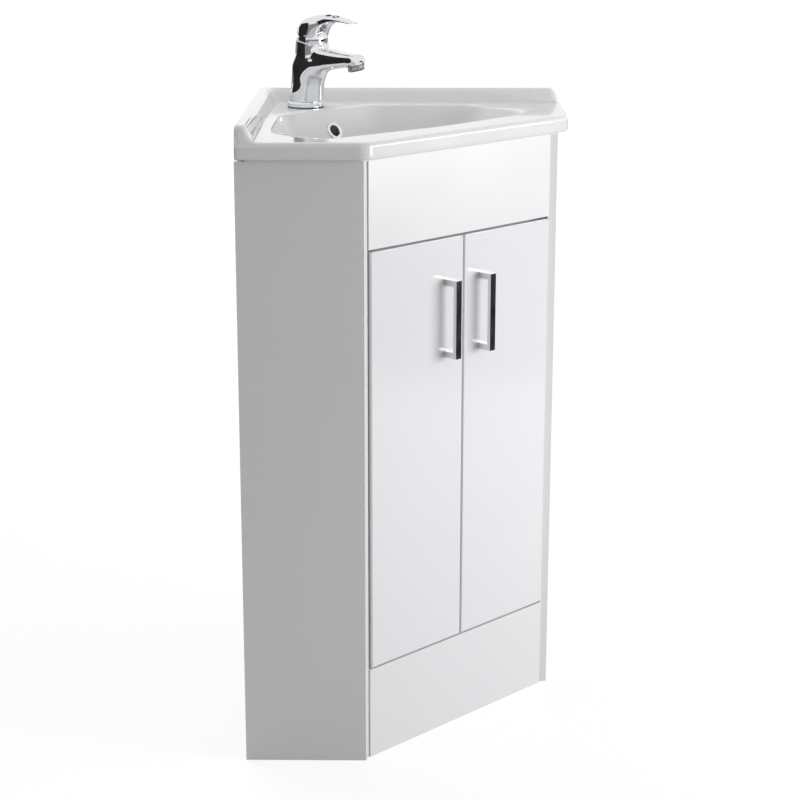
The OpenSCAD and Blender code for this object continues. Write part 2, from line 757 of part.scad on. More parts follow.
// Rim section: height above the cabinet and how far the edge lies in there
rim_lift = 3.5;                                    // the overhanging rim clears the cabinet's top by this
rim_low_r = 3;
rim_top_r = 6;
rim_section = [
  [0, basin_overhang + 0.5],
  [rim_lift, basin_overhang - 1],
  for (a = [0 : 22.5 : 90]) [rim_lift + rim_low_r * (1 - cos(a)), rim_low_r * (1 - sin(a)) + 0.5],
  [deck_h * 0.55, 0],
  for (a = [0 : 22.5 : 90]) [deck_h - rim_top_r * (1 - sin(a)), 0.6 + rim_top_r * (1 - cos(a))]
];

// Outline of the bowl, its edges moved in by s and its ends by e, with corner radii rs
function bowl_outline(s, e, bow, rs) =
  let (front = bowl_front + s, half_w = bowl_half_w - e, rear = bowl_rear - s,
       wall = corner_y - (bowl_wall_gap + s) / side)                // |x| + y
  rounded([[-half_w, front + bow], [0, front - bow / 6], [half_w, front + bow], [half_w, wall - half_w],
           [wall - rear, rear], [-(wall - rear), rear], [-half_w, wall - half_w]],
          [rs[0], bow_r, rs[0], rs[1], rs[2], rs[2], rs[1]], bowl_n);

bow_r = 700;
lip_r = 8;
wall_draft = 30;                                   // of the bowl's wall, from upright
lip_end = 90 - wall_draft;                         // angle at which the lip meets the wall
end_shoulder = 26;                                 // the lip is wider at the bowl's two ends
end_draft = 1.12;                                  // and the wall is flatter there by this
floor_r = 20;
lip_rs = [44, 60, 36];
floor_rs = [12, 16, 14];
bowl_floor_z = deck_z - bowl_depth;
lip_in = lip_r * sin(lip_end);
lip_down = lip_r * (1 - cos(lip_end));
curve_down = bowl_depth - floor_r;                 // centre of the curve between wall and floor
curve_in = lip_in + (curve_down - lip_down) * tan(wall_draft) + floor_r / cos(wall_draft);

// Ring of the bowl at depth down, moved in by s and grown by g
function bowl_ring(down, s, end, g) =
  let (t = s / curve_in)
  at_height(bowl_outline(s - g, end - g, bowl_bow * (1 - 0.6 * t), mix(lip_rs, floor_rs, t) + [g, g, g]),
            deck_z - down);

function wall_end(s) = end_shoulder + (s - lip_in) * end_draft;

// Rings of the curve between wall and floor, the wall's thickness g outside it
function floor_curve(g) = [
  for (a = [90 : -15 : wall_draft]) let (s = curve_in - floor_r * cos(a))
    bowl_ring(curve_down + (floor_r + g) * sin(a), s, wall_end(s), g * cos(a))
];

module bowl_space() {
  loft([
    each floor_curve(0),
    for (a = [lip_end : -15 : 0])
      bowl_ring(lip_r * (1 - cos(a)), lip_r * sin(a), end_shoulder * sin(a) / sin(lip_end), 0),
    bowl_ring(-30, 0, 0, 0)
  ]);
}

module bowl_outside() {
  loft([
    each floor_curve(basin_wall),
    bowl_ring(basin_wall * sin(wall_draft), lip_in, end_shoulder, basin_wall * cos(wall_draft)),
    bowl_ring(2, lip_in, end_shoulder, basin_wall)
  ]);
}

// Upstand section: distance from the wall and height above the deck
upstand_section = concat(
  [[0, -6], [upstand_t + upstand_sweep, -6]],
  [for (i = [0 : 8]) let (k = i / 8) [upstand_t + upstand_sweep * (1 - k),
    (upstand_h - 2) * (1 - cos(180 * k)) / 2]],
  [for (a = [30 : 30 : 90]) [upstand_t - 2 + 2 * cos(a), upstand_h - 2 + 2 * sin(a)]],
  [[0, upstand_h]]
);
upstand_end_r = 13;
upstand_end_in = 5;                                // its end lies this far in from the basin's edge

// The upstand of the left wall, its outer end rounded down to the deck
module upstand() {
  end_x = upstand_end_r + upstand_end_in - basin_overhang;
  intersection() {
    on_wall() translate([-basin_overhang, -basin_gap, deck_z]) rotate([90, 0, 90])
      linear_extrude(wall_leg + basin_overhang) mirror([1, 0]) polygon(upstand_section);
    on_wall() translate([0, 1, deck_z]) rotate([90, 0, 0]) linear_extrude(60) polygon(concat(
      [[wall_leg + 60, -6], [wall_leg + 60, 60], [end_x, 60]],
      [for (a = [0 : 15 : 75]) [end_x - upstand_end_r * sin(a), upstand_h - upstand_end_r * (1 - cos(a))]],
      [[end_x - upstand_end_r, -6]]
    ));
    linear_extrude(deck_z + 60) polygon(basin_outline(0));
  }
}

pocket_z = deck_z - 12;

module basin() {
  color("#f2f3f4") placed() difference() {
    union() {
      difference() {
        loft([for (p = rim_section) at_height(basin_outline(p[1]), cabinet_h + p[0])]);
        // underside pocket between the skirt and the bowl
        translate([0, 0, cabinet_h - 1]) linear_extrude(pocket_z - cabinet_h + 1) polygon(
          rounded([[-pocket_fx, pocket_front], [pocket_fx, pocket_front], [pocket_wx, pocket_wy],
                   [0, pocket_wall], [-pocket_wx, pocket_wy]], [20, 20, 12, 12, 12], 3));
      }
      bowl_outside();
      upstand();
      mirror([1, 0, 0]) upstand();
      overflow_rib();
    }
    bowl_space();
    translate([0, waste_y, bowl_floor_z - 2 * basin_wall]) cylinder(d = waste_hole_d, h = 40, $fn = 96);
    translate([0, waste_y, bowl_floor_z + 2 * eps]) cylinder(d = flange_d + 1, h = 12, $fn = 96);
    translate([0, tap_y, deck_z - 60]) cylinder(d = tap_hole_d, h = 100, $fn = 96);
    overflow_way();
  }
}
pocket_front = board_front_y + front_t + 4;
pocket_wall = corner_y - (board_t + 12) / side;    // |x| + y
pocket_ret = front_w / 2 - (return_t + 8) / side;  // |x| - y
pocket_fx = pocket_ret + pocket_front;
pocket_wx = (pocket_wall + pocket_ret) / 2;
pocket_wy = (pocket_wall - pocket_ret) / 2;

// Overflow: a hole in the rear wall of the bowl and a way down to the waste
overflow_down = 28.5;                              // its centre below the deck
overflow_y = bowl_rear - lip_in - (overflow_down - lip_down) * tan(wall_draft);
module on_overflow() {                             // Z out of the wall into the bowl
  translate([0, overflow_y, deck_z - overflow_down]) rotate([90 - wall_draft, 0, 0]) children();
}

module overflow_way() {
  on_overflow() translate([0, 0, -13]) cylinder(d = overflow_d, h = 40);
}

module overflow_rib() {
  on_overflow() translate([0, 0, -19]) cylinder(d = overflow_d + 12, h = 18);
}

module overflow_ring() {
  color("#cfd3d8") placed() on_overflow() rotate_extrude()
    polygon([[overflow_d / 2 - 2.6, -8], [overflow_d / 2 - 0.1, -8], [overflow_d / 2 - 0.1, 0.2],
             [overflow_d / 2 + 2.2, 0.2], [overflow_d / 2 + 1.6, 1.6], [overflow_d / 2 - 1.4, 2],
             [overflow_d / 2 - 2.6, 1]]);
}

// ---- waste --------------------------------------------------------------

module on_waste() {                                // top of the bowl's floor
  placed() translate([0, waste_y, bowl_floor_z]) children();
}
seal_t = 1.5;
flange_t = 3.2;
plug_d = 38;
plug_stem_d = 8;
hub_z = -14;                                       // top of the guide inside the tail
hub_t = 10;
washer_t = 3;
nut_h = 8;
wall_below = basin_wall;                           // floor's thickness
pipe_wall = 2;
tail_l = thread_l + (tail_d - pipe_d) / 2 + pipe_l; // with the cone between thread and pipe

module waste_body() {
  color("#cfd3d8") on_waste() difference() {
    union() {
      rotate_extrude($fn = 96) polygon([
        [pipe_d / 2 - pipe_wall, -tail_l], [pipe_d / 2, -tail_l], [pipe_d / 2, pipe_l - tail_l],
        [tail_d / 2, -thread_l], [tail_d / 2, seal_t], [flange_d / 2, seal_t],
        [flange_d / 2, seal_t + 0.6], [flange_d / 2 - 2.5, seal_t + flange_t],
        [plug_d / 2 + 1.2, seal_t + flange_t], [plug_d / 2 + 0.5, seal_t + flange_t - 0.7],
        [plug_d / 2 + 0.5, seal_t + 0.8], [tail_bore / 2, seal_t - 2],
        [tail_bore / 2, 2 - thread_l], [pipe_d / 2 - pipe_wall, -thread_l - 1]
      ]);
      translate([0, 0, hub_z - hub_t]) cylinder(d = plug_stem_d + 6, h = hub_t);
      for (a = [0, 90]) rotate(a) translate([-tail_bore / 2 - 1, -1.5, hub_z - hub_t])
        cube([tail_bore + 2, 3, 4]);
    }
    translate([0, 0, hub_z - hub_t - eps]) cylinder(d = plug_stem_d + 2 * pin_fit, h = hub_t + 2 * eps);
    for (a = [45, 135]) rotate(a) translate([-tail_d, -5, -wall_below + 1]) cube([2 * tail_d, 10, 5]);
  }
}

module waste_plug() {
  color("#cfd3d8") on_waste() rotate_extrude($fn = 96) polygon([
    [0, hub_z - hub_t - plug_travel], [plug_stem_d / 2, hub_z - hub_t - plug_travel],
    [plug_stem_d / 2, seal_t + 1.2],
    [plug_d / 2 - 1, seal_t + 1.2], [plug_d / 2, seal_t + 2.2], [plug_d / 2, seal_t + 3.2],
    [plug_d / 2 - 3, seal_t + 5], [plug_d / 4, seal_t + 6], [0, seal_t + 6.4]
  ]);
}

module ring(outer_d, inner_d, h) {
  difference() {
    cylinder(d = outer_d, h = h, $fn = 96);
    translate([0, 0, -eps]) cylinder(d = inner_d, h = h + 2 * eps, $fn = 96);
  }
}

module waste_seal() {
  color("#3b3d40") on_waste() ring(flange_d - 4, waste_hole_d, seal_t);
}

module waste_washer() {
  color("#2f3133") on_waste() translate([0, 0, -wall_below - washer_t])
    ring(66, tail_d + 2 * hold_fit, washer_t);
}

module waste_nut() {
  color("#d8d9da") on_waste() translate([0, 0, -wall_below - washer_t - nut_h]) difference() {
    union() {
      cylinder(d = 52 / cos(30), h = nut_h, $fn = 6);
      translate([0, 0, nut_h - 2]) cylinder(d = 62, h = 2);
    }
    translate([0, 0, -eps]) cylinder(d = tail_d + 2 * hold_fit, h = nut_h + 2 * eps, $fn = 96);
  }
}

// ---- tap ----------------------------------------------------------------
// Tap frame: X forward over the bowl, Z up from the deck; leaned() follows the body.

tap_seal_t = 1.5;
body_z = tap_seal_t + base_ring_h;
ball_r = ball_d / 2;
socket_r = ball_r + 0.4;
rim_h = ball_h - 3;                                // the body's rim
cap_h = ball_h - 4;                                // the cap's lower edge
cap_wall = 3.2;
cartridge_d = 28;
cartridge_h0 = 52;
cartridge_h1 = ball_h - 15;
carrier_d = 16;
spindle_w = 8;
spindle_top = ball_h + 12;
pivot_pin_d = 3;
shank_x = -12;
stud_d = 8;
stud_l = 62;
inlet_d = 10;
inlet_y = 8.5;
inlet_x = 3;
nut_seat = -(deck_z - pocket_z);                   // deck's underside from the deck's top

module on_tap() {
  placed() translate([0, tap_y, deck_z]) rotate(-90) children();
}

module leaned() {
  rotate([0, lean, 0]) children();
}

// Section across the spout at x, its side a squared oval between bottom and top
function spout_ring(x, bottom, top, half_w) =
  let (z = (top + bottom) / 2, h = (top - bottom) / 2)
  [for (i = [0 : 35]) let (a = 360 * i / 36, c = cos(a), s = sin(a), n = 0.66)
    [x, half_w * sign(c) * pow(abs(c), n), z + h * sign(s) * pow(abs(s), n)]];

// Spout from inside the body to its nose: place along the reach, bottom, top, half width.
// The first rings sweep its underside down the body's front.
spout_tip = spout_reach + 5;
spout_line = [
  [4, 16, 79, 8], [15, 17, 81, 10], [21, 20, 83, 11.5], [25, 25, 84.3, 12.6], [28.5, 32, 84.8, 13.6],
  [32, 38.5, 84.9, 14.4], [36.5, 44.5, 84.6, 15], [43, 49.6, 83.9, 15.3], [51, 53, 82.9, 15.1],
  [61, 55.8, 81.8, 14.6], [73, 58.4, 80.7, 14], [86, 60.6, 79.9, 13.4], [spout_tip - 12, 62.8, 79.4, 13],
  [spout_tip - 5, 65.6, 78.9, 12.7], [spout_tip - 1.2, 67.2, 78.5, 12.1], [spout_tip, 68.6, 77.4, 11]
];
module spout() {
  loft([for (p = spout_line) spout_ring(p[0], p[1], p[2], p[3])]);
}

aerator_tilt = 16;
aerator_z = 57;                                    // centre of the outlet's face
aerator_h = 10;
collar_z = 5.5;                                    // length of the outlet that shows
module on_aerator() {                              // Z up into the spout from the outlet's face
  translate([spout_reach, 0, aerator_z]) rotate([0, -aerator_tilt, 0]) children();
}

module tap_body() {
  color("#cdd1d6") on_tap() difference() {
    union() {
      intersection() {
        leaned() rotate_extrude($fn = 96) polygon([
          [0, -10], [22.6, -10], [22.2, 12], [21.5, 40], [21.8, 62], [22.6, 80], [ball_r + 2, rim_h - 2],
          [ball_r + 2, rim_h - 1], [ball_r + 1.2, rim_h], [0, rim_h]
        ]);
        translate([-60, -60, body_z]) cube([160, 120, 120]);
      }
      spout();
      on_aerator() translate([0, 0, collar_z]) cylinder(d = aerator_d + 2.4, h = aerator_h + 3 - collar_z);
    }
    leaned() {
      translate([0, 0, ball_h]) sphere(r = socket_r, $fn = 96);
      translate([0, 0, cartridge_h0]) cylinder(d = cartridge_d + 2 * hold_fit, h = 40, $fn = 96);
    }
    on_aerator() {
      translate([0, 0, -20]) cylinder(d = aerator_d + 2, h = 20 + collar_z);
      cylinder(d = aerator_d + 2 * hold_fit, h = aerator_h);
    }
    translate([spout_reach - 3, 0, 70]) rotate([0, -90, 0]) cylinder(d = 7, h = spout_reach - 20);
    for (s = [-1, 1]) translate([inlet_x, s * inlet_y, body_z - eps]) cylinder(d = inlet_d, h = 18);
    translate([shank_x, 0, body_z - eps]) cylinder(d = stud_d + 2 * hold_fit, h = 12);
  }
}

module tap_base_ring() {
  color("#cdd1d6") on_tap() translate([0, 0, tap_seal_t]) rotate_extrude($fn = 96) polygon([
    [17, 0], [base_ring_d / 2, 0], [base_ring_d / 2, base_ring_h - 2.5],
    [base_ring_d / 2 - 0.8, base_ring_h - 1], [base_ring_d / 2 - 2, base_ring_h], [17, base_ring_h]
  ]);
}

module tap_base_seal() {
  color("#2f3133") on_tap() ring(base_ring_d - 2, 36, tap_seal_t);
}

module tap_stud() {
  color("#c3a35c") on_tap() translate([shank_x, 0, body_z + 11 - stud_l]) cylinder(d = stud_d, h = stud_l);
}

// Horseshoe washer under the deck, open to the front for the two inlet hoses
module tap_washer() {
  color("#9da3aa") on_tap() translate([0, 0, nut_seat - 3]) linear_extrude(3) difference() {
    circle(d = base_ring_d - 2);
    translate([-6, -15]) square([40, 30]);
    translate([shank_x, 0]) circle(d = stud_d + 2 * hold_fit);
  }
}

module tap_nut() {
  color("#c3a35c") on_tap() translate([shank_x, 0, nut_seat - 3 - 7]) hex_nut(13, stud_d + 2 * hold_fit, 7);
}

module cartridge() {
  color("#e7e7e4") on_tap() leaned() difference() {
    translate([0, 0, cartridge_h0]) cylinder(d = cartridge_d, h = cartridge_h1 - cartridge_h0, $fn = 96);
    translate([0, 0, cartridge_h1 - 14]) cylinder(d = carrier_d + 2 * pin_fit, h = 15, $fn = 96);
  }
}

module cartridge_nut() {
  color("#c3a35c") on_tap() leaned() translate([0, 0, cartridge_h1]) ring(cartridge_d, 20, 4);
}

module cartridge_carrier() {
  color("#dcdcd8") on_tap() leaned() difference() {
    translate([0, 0, cartridge_h1 - 13.7])
      cylinder(d = carrier_d, h = ball_h + 2.5 - cartridge_h1 + 13.7, $fn = 96);
    translate([-20, -spindle_w / 2 - 0.2, ball_h - 8]) cube([40, spindle_w + 0.4, 20]);
    translate([0, 0, ball_h]) rotate([90, 0, 0])
      cylinder(d = pivot_pin_d + 2 * hold_fit, h = 40, center = true);
  }
}

module carrier_pin() {
  color("#8e949b") on_tap() leaned() translate([0, 0, ball_h]) rotate([90, 0, 0])
    cylinder(d = pivot_pin_d, h = 14.6, center = true);
}

module cartridge_spindle() {
  color("#b7bcc2") on_tap() leaned() difference() {
    translate([-spindle_w / 2, -spindle_w / 2, ball_h - 4])
      cube([spindle_w, spindle_w, spindle_top - ball_h + 4]);
    translate([0, 0, ball_h]) rotate([90, 0, 0])
      cylinder(d = pivot_pin_d + 2 * pin_fit, h = 20, center = true);
  }
}

// Top line of the lever, t from 0 at its back to 1 at its tip
lever_ctrl = [[-5, ball_h + 2], [-3.5, ball_h + 31], [43, ball_h + 41], [lever_reach, ball_h + 25.5]];
function bezier(c, t) =
  pow(1 - t, 3) * c[0] + 3 * pow(1 - t, 2) * t * c[1] + 3 * (1 - t) * t * t * c[2] + pow(t, 3) * c[3];

module lever_side() {
  polygon(concat(
    [for (i = [0 : 16]) bezier(lever_ctrl, i / 16)],
    [for (p = [[lever_reach, 23.3], [lever_reach - 18, 25.2], [lever_reach - 34, 26.4], [55, 25.2], [45, 22],
               [38, 16.5], [34, 9], [31, 2], [10, 2], [-3, 1]]) [p[0], ball_h + p[1]]]
  ));
}

// Half widths of the lever along it
lever_plan = [[-9, 9.5], [0, 12], [18, 14], [40, 13], [62, 10.5], [82, 9], [lever_reach - 4, 8.2],
              [lever_reach, 5]];
module lever_top() {
  polygon(concat([for (p = lever_plan) [p[0], p[1]]],
                 [for (i = [len(lever_plan) - 1 : -1 : 0]) [lever_plan[i][0], -lever_plan[i][1]]]));
}

lift_clear = 14;                                   // slope of the lever's back edge
index_tilt = 38;
slot_l = 7;                                        // two slots through the lever
slot_w = 9;
slot_xs = [51, 64];
module on_index() {                                // Z out of the cap towards the front
  leaned() translate([0, 0, ball_h]) rotate([0, 90 - index_tilt, 0]) children();
}

module tap_lever() {
  color("#cdd1d6") on_tap() difference() {
    union() {
      leaned() difference() {
        translate([0, 0, ball_h]) sphere(r = ball_r, $fn = 96);
        translate([-ball_d, -ball_d, cap_h - ball_d]) cube([2 * ball_d, 2 * ball_d, ball_d]);
      }
      difference() {
        intersection() {
          translate([0, ball_d, 0]) rotate([90, 0, 0]) linear_extrude(2 * ball_d) lever_side();
          translate([0, 0, ball_h - ball_r]) linear_extrude(3 * ball_r) lever_top();
        }
        // its back clears the body's rim when the lever is up
        leaned() translate([0, 0, ball_h]) rotate([0, lift_clear, 0])
          translate([-2 * ball_d, -ball_d, -2 * ball_d]) cube(2 * ball_d);
      }
    }
    difference() {
      leaned() translate([0, 0, ball_h]) sphere(r = ball_r - cap_wall, $fn = 96);
      leaned() translate([0, 0, ball_h + 6]) cylinder(d = 15, h = 30);
    }
    leaned() translate([-spindle_w / 2 - hold_fit, -spindle_w / 2 - hold_fit, ball_h - 2])
      cube([spindle_w + 2 * hold_fit, spindle_w + 2 * hold_fit, spindle_top - ball_h + 2 + hold_fit]);
    for (x = slot_xs) translate([x, -slot_w / 2, ball_h + 10]) cube([slot_l, slot_w, ball_d]);
    on_index() translate([0, 0, ball_r - 2]) cylinder(d = index_d + 2 * hold_fit, h = 10);
  }
}
index_d = 7;

// Plug with the hot and cold mark, in the front of the cap
module tap_index() {
  color("#b7bcc2") on_tap() on_index() translate([0, 0, ball_r - 2]) cylinder(d = index_d, h = 1.9);
}

module tap_aerator() {
  color("#b7bcc2") on_tap() on_aerator() difference() {
    cylinder(d = aerator_d, h = aerator_h);
    translate([0, 0, -eps]) cylinder(d = aerator_d - 5, h = 2.5);
  }
}

// ---- drawing ------------------------------------------------------------

left_return_panel();
right_return_panel();
left_wall_panel();
right_wall_panel();
base_panel();
plinth_panel();
fascia_panel();
front_rail();
shelf();
shelf_pins();
corner_blocks();
block_screws();
panel_dowels();
corner_screws();
left_door();
right_door();
left_handle();
right_handle();
left_handle_screws();
right_handle_screws();
left_door_buffers();
right_door_buffers();
left_upper_hinge_cup();
left_lower_hinge_cup();
right_upper_hinge_cup();
right_lower_hinge_cup();
left_upper_hinge_arm();
left_lower_hinge_arm();
right_upper_hinge_arm();
right_lower_hinge_arm();
left_upper_hinge_plate();
left_lower_hinge_plate();
right_upper_hinge_plate();
right_lower_hinge_plate();
left_hinge_pins();
right_hinge_pins();
left_cup_screws();
right_cup_screws();
hinge_plate_screws();
basin();
overflow_ring();
waste_body();
waste_plug();
waste_seal();
waste_washer();
waste_nut();
tap_body();
tap_base_ring();
tap_base_seal();
tap_stud();
tap_washer();
tap_nut();
cartridge();
cartridge_nut();
cartridge_carrier();
carrier_pin();
cartridge_spindle();
tap_lever();
tap_index();
tap_aerator();
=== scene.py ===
import math

import bmesh
import bpy
import numpy as np
from mathutils import Matrix, Vector


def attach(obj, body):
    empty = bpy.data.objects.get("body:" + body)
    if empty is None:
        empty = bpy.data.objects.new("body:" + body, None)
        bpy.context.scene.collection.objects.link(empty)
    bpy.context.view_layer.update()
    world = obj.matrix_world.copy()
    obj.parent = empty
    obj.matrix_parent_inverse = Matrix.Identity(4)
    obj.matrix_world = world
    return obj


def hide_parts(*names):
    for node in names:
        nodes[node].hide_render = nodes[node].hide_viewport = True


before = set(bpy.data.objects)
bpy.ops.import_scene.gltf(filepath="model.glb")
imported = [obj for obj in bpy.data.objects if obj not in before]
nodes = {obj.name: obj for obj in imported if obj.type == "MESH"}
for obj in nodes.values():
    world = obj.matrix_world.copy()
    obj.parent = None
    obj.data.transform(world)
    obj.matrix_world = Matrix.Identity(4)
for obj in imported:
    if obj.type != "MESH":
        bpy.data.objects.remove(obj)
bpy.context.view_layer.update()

# ---- values of the part's source, in metres --------------------------------

MM = 0.001
SIDE = math.sqrt(0.5)
WALL_LEG, RETURN_D = 0.415, 0.159
HANDLE_PROJ, DOOR_SETBACK = 0.0225, 0.0009
TAP_CORNER_D = 0.098
FRONT_W = (WALL_LEG - RETURN_D) * math.sqrt(2)
CORNER_Y = (WALL_LEG + RETURN_D) * SIDE             # depths are measured from the front plane
DEPTH_MID = (CORNER_Y - (HANDLE_PROJ - DOOR_SETBACK)) / 2   # the origin's depth
TAP_Y = CORNER_Y - TAP_CORNER_D
LEAN = math.radians(9.5)                            # of the tap's body
ROUND = 96                                          # sides of a round mesh


# ---- node materials --------------------------------------------------------

class Mat:
    """A Principled material with small helpers for its procedural detail."""

    def __init__(self, name, color, rough, metallic=0.0, **inputs):
        self.m = bpy.data.materials.new(name)
        self.m.use_nodes = True
        self.nt = self.m.node_tree
        self.bsdf = self.nt.nodes["Principled BSDF"]
        self.bsdf.inputs["Base Color"].default_value = (*color, 1)
        self.bsdf.inputs["Roughness"].default_value = rough
        self.bsdf.inputs["Metallic"].default_value = metallic
        for key, value in inputs.items():
            self.bsdf.inputs[key.replace("_", " ")].default_value = value
        self.color = color
        self.coord = self.nt.nodes.new("ShaderNodeTexCoord").outputs["Object"]
        self.normal = None

    def add(self, kind, links=(), **props):
        node = self.nt.nodes.new(kind)
        for key, value in props.items():
            if hasattr(node, key):
                setattr(node, key, value)
            else:
                node.inputs[key].default_value = value
        for socket, source in links:
            self.nt.links.new(source, node.inputs[socket])
        return node

    def link(self, source, socket):
        self.nt.links.new(source, self.bsdf.inputs[socket])

    def noise(self, scale, detail, stretch=None):
        at = self.coord
        if stretch:
            node = self.add("ShaderNodeMapping", [("Vector", self.coord)])
            node.inputs["Scale"].default_value = stretch
            at = node.outputs[0]
        node = self.add("ShaderNodeTexNoise", [("Vector", at)])
        node.inputs["Scale"].default_value = scale
        node.inputs["Detail"].default_value = detail
        return node.outputs["Fac"]

    def remap(self, value, lo, hi, from_lo=0.3, from_hi=0.7):
        """Takes from_lo to from_hi over into lo to hi."""
        node = self.add("ShaderNodeMapRange", [("Value", value)])
        node.inputs["From Min"].default_value = from_lo
        node.inputs["From Max"].default_value = from_hi
        node.inputs["To Min"].default_value = lo
        node.inputs["To Max"].default_value = hi
        return node.outputs[0]

    def mix(self, fac, a, b):
        node = self.add("ShaderNodeMix", data_type="RGBA")
        for socket, value in ((node.inputs[0], fac), (node.inputs[6], a), (node.inputs[7], b)):
            if isinstance(value, tuple):
                socket.default_value = (*value, 1)
            elif isinstance(value, float):
                socket.default_value = value
            else:
                self.nt.links.new(value, socket)
        return node.outputs[2]

    def bump(self, height, strength, distance):
        node = self.add("ShaderNodeBump", [("Height", height)])
        node.inputs["Strength"].default_value = strength
        node.inputs["Distance"].default_value = distance
        if self.normal is not None:
            self.nt.links.new(self.normal, node.inputs["Normal"])
        self.normal = node.outputs[0]
        self.link(self.normal, "Normal")

    def vary_color(self, value, other):
        self.link(self.mix(self.remap(value, 0.0, 1.0), self.color, other), "Base Color")

    def vary_rough(self, value, lo, hi):
        self.link(self.remap(value, lo, hi), "Roughness")


def use(mat, *names):
    """Gives CAD nodes this material."""
    for name in names:
        mesh = nodes[name].data
        mesh.materials.clear()
        mesh.materials.append(mat.m)


def board(name, color, rough, peel, core=None):
    """Foil-faced board with an orange-peel sheen of strength peel. core is (axis, value, tolerance):
    bare chipboard shows on the faces whose normal has that value along the axis."""
    mat = Mat(name, color, rough, Coat_Weight=0.25, Coat_Roughness=0.08)
    mat.vary_rough(mat.noise(9, 2), rough * 0.85, rough * 1.15)
    shade = tuple(c * 0.985 for c in color)
    tint = mat.mix(mat.remap(mat.noise(3.5, 3), 0.0, 1.0), color, shade)
    if core:
        geo = mat.add("ShaderNodeNewGeometry")
        along = mat.add("ShaderNodeVectorMath", [(0, geo.outputs["Normal"])], operation="DOT_PRODUCT")
        along.inputs[1].default_value = core[0]
        cut = mat.add("ShaderNodeMath", [(0, along.outputs["Value"])], operation="COMPARE")
        cut.inputs[1].default_value = core[1]
        cut.inputs[2].default_value = core[2]
        chips = mat.add("ShaderNodeTexVoronoi", [("Vector", mat.coord)], feature="F1")
        chips.inputs["Scale"].default_value = 700
        wood = mat.mix(mat.remap(chips.outputs["Distance"], 0.0, 1.0, 0.1, 0.8),
                       (0.66, 0.52, 0.36), (0.42, 0.30, 0.19))
        tint = mat.mix(cut.outputs[0], tint, wood)
    mat.link(tint, "Base Color")
    mat.bump(mat.noise(420, 2), peel, 0.0004)
    return mat


def metal(name, color, rough, grain=None):
    """Polished metal, or brushed across the axis that grain scales most."""
    mat = Mat(name, color, rough, 1.0)
    mat.vary_rough(mat.noise(60, 3), rough * 0.7, rough * 1.4)
    if grain:
        mat.bump(mat.noise(900, 2, grain), 0.25, 0.0001)
    else:
        mat.bump(mat.noise(45, 1), 0.02, 0.0003)
    return mat


def plastic(name, color, rough):
    mat = Mat(name, color, rough)
    mat.vary_color(mat.noise(80, 3), tuple(c * 0.93 for c in color))
    mat.bump(mat.noise(1500, 2), 0.12, 0.0002)
    return mat


white = board("white_board", (0.82, 0.82, 0.835), 0.22, 0.05)
side_board = board("return_board", (0.80, 0.80, 0.805), 0.22, 0.05, ((0, 0, -1), 1.0, 0.05))
door_white = board("door_gloss", (0.815, 0.82, 0.84), 0.16, 0.04)
back_left = board("back_board_left", (0.76, 0.76, 0.75), 0.38, 0.10, ((-SIDE, SIDE, 0), 0.0, 0.5))
back_right = board("back_board_right", (0.76, 0.76, 0.75), 0.38, 0.10, ((SIDE, SIDE, 0), 0.0, 0.5))
inside = board("inside_board", (0.78, 0.78, 0.77), 0.32, 0.08)
chrome = metal("chrome", (0.76, 0.77, 0.785), 0.045)
handle_chrome = metal("handle_chrome", (0.66, 0.665, 0.675), 0.09)
dark_chrome = metal("aerator_chrome", (0.34, 0.345, 0.355), 0.10)
satin = metal("aerator_metal", (0.62, 0.63, 0.65), 0.28, (1, 1, 8))
hinge_steel = metal("hinge_steel", (0.62, 0.62, 0.63), 0.27, (1, 1, 6))
screw_metal = metal("screw_metal", (0.66, 0.66, 0.67), 0.32, (6, 1, 1))
pin_metal = metal("pin_metal", (0.55, 0.56, 0.58), 0.25, (1, 1, 10))
brass = metal("stud_brass", (0.76, 0.58, 0.28), 0.3, (1, 1, 8))
rubber = plastic("seal_rubber", (0.03, 0.03, 0.032), 0.65)
nut_plastic = plastic("nut_plastic", (0.74, 0.74, 0.73), 0.5)
block_plastic = plastic("block_plastic", (0.76, 0.75, 0.71), 0.5)
buffer_plastic = plastic("buffer_plastic", (0.70, 0.71, 0.72), 0.35)
# painted shade: near-black for the upright inside faces of the lever's two slots
slot_painted_shade = plastic("slot_painted_shade", (0.02, 0.02, 0.022), 0.4)
index_plastic = plastic("index_plastic", (0.22, 0.23, 0.25), 0.18)
dowel = plastic("dowel_wood", (0.55, 0.38, 0.21), 0.7)

glaze = Mat("glazed_ceramic", (0.83, 0.835, 0.84), 0.09, Coat_Weight=0.6, Coat_Roughness=0.03)
glaze.vary_color(glaze.noise(6, 3), (0.80, 0.805, 0.81))
glaze.vary_rough(glaze.noise(14, 2), 0.07, 0.12)
glaze.bump(glaze.noise(28, 2), 0.05, 0.0012)

use(white, "plinth_panel", "fascia_panel")
use(side_board, "left_return_panel", "right_return_panel")
use(back_left, "left_wall_panel")
use(back_right, "right_wall_panel")
use(inside, "base_panel", "front_rail", "shelf")
use(door_white, "left_door", "right_door")
use(handle_chrome, "left_handle", "right_handle")
use(chrome, "overflow_ring", "waste_body", "waste_plug", "tap_body", "tap_base_ring", "tap_lever")
use(satin, "tap_aerator", "tap_washer")
use(pin_metal, "shelf_pins", "left_hinge_pins", "right_hinge_pins", "carrier_pin", "cartridge_spindle")
use(screw_metal, "block_screws", "corner_screws", "left_handle_screws", "right_handle_screws",
    "left_cup_screws", "right_cup_screws", "hinge_plate_screws")
use(hinge_steel, *[f"{s}_{u}_hinge_{k}" for s in ("left", "right") for u in ("upper", "lower")
                   for k in ("cup", "arm", "plate")])
use(brass, "tap_stud", "tap_nut", "cartridge_nut")
use(rubber, "waste_seal", "waste_washer", "tap_base_seal")
use(nut_plastic, "waste_nut", "cartridge", "cartridge_carrier")
use(block_plastic, "corner_blocks")
use(buffer_plastic, "left_door_buffers", "right_door_buffers")
use(index_plastic, "tap_index")
use(dowel, "panel_dowels")
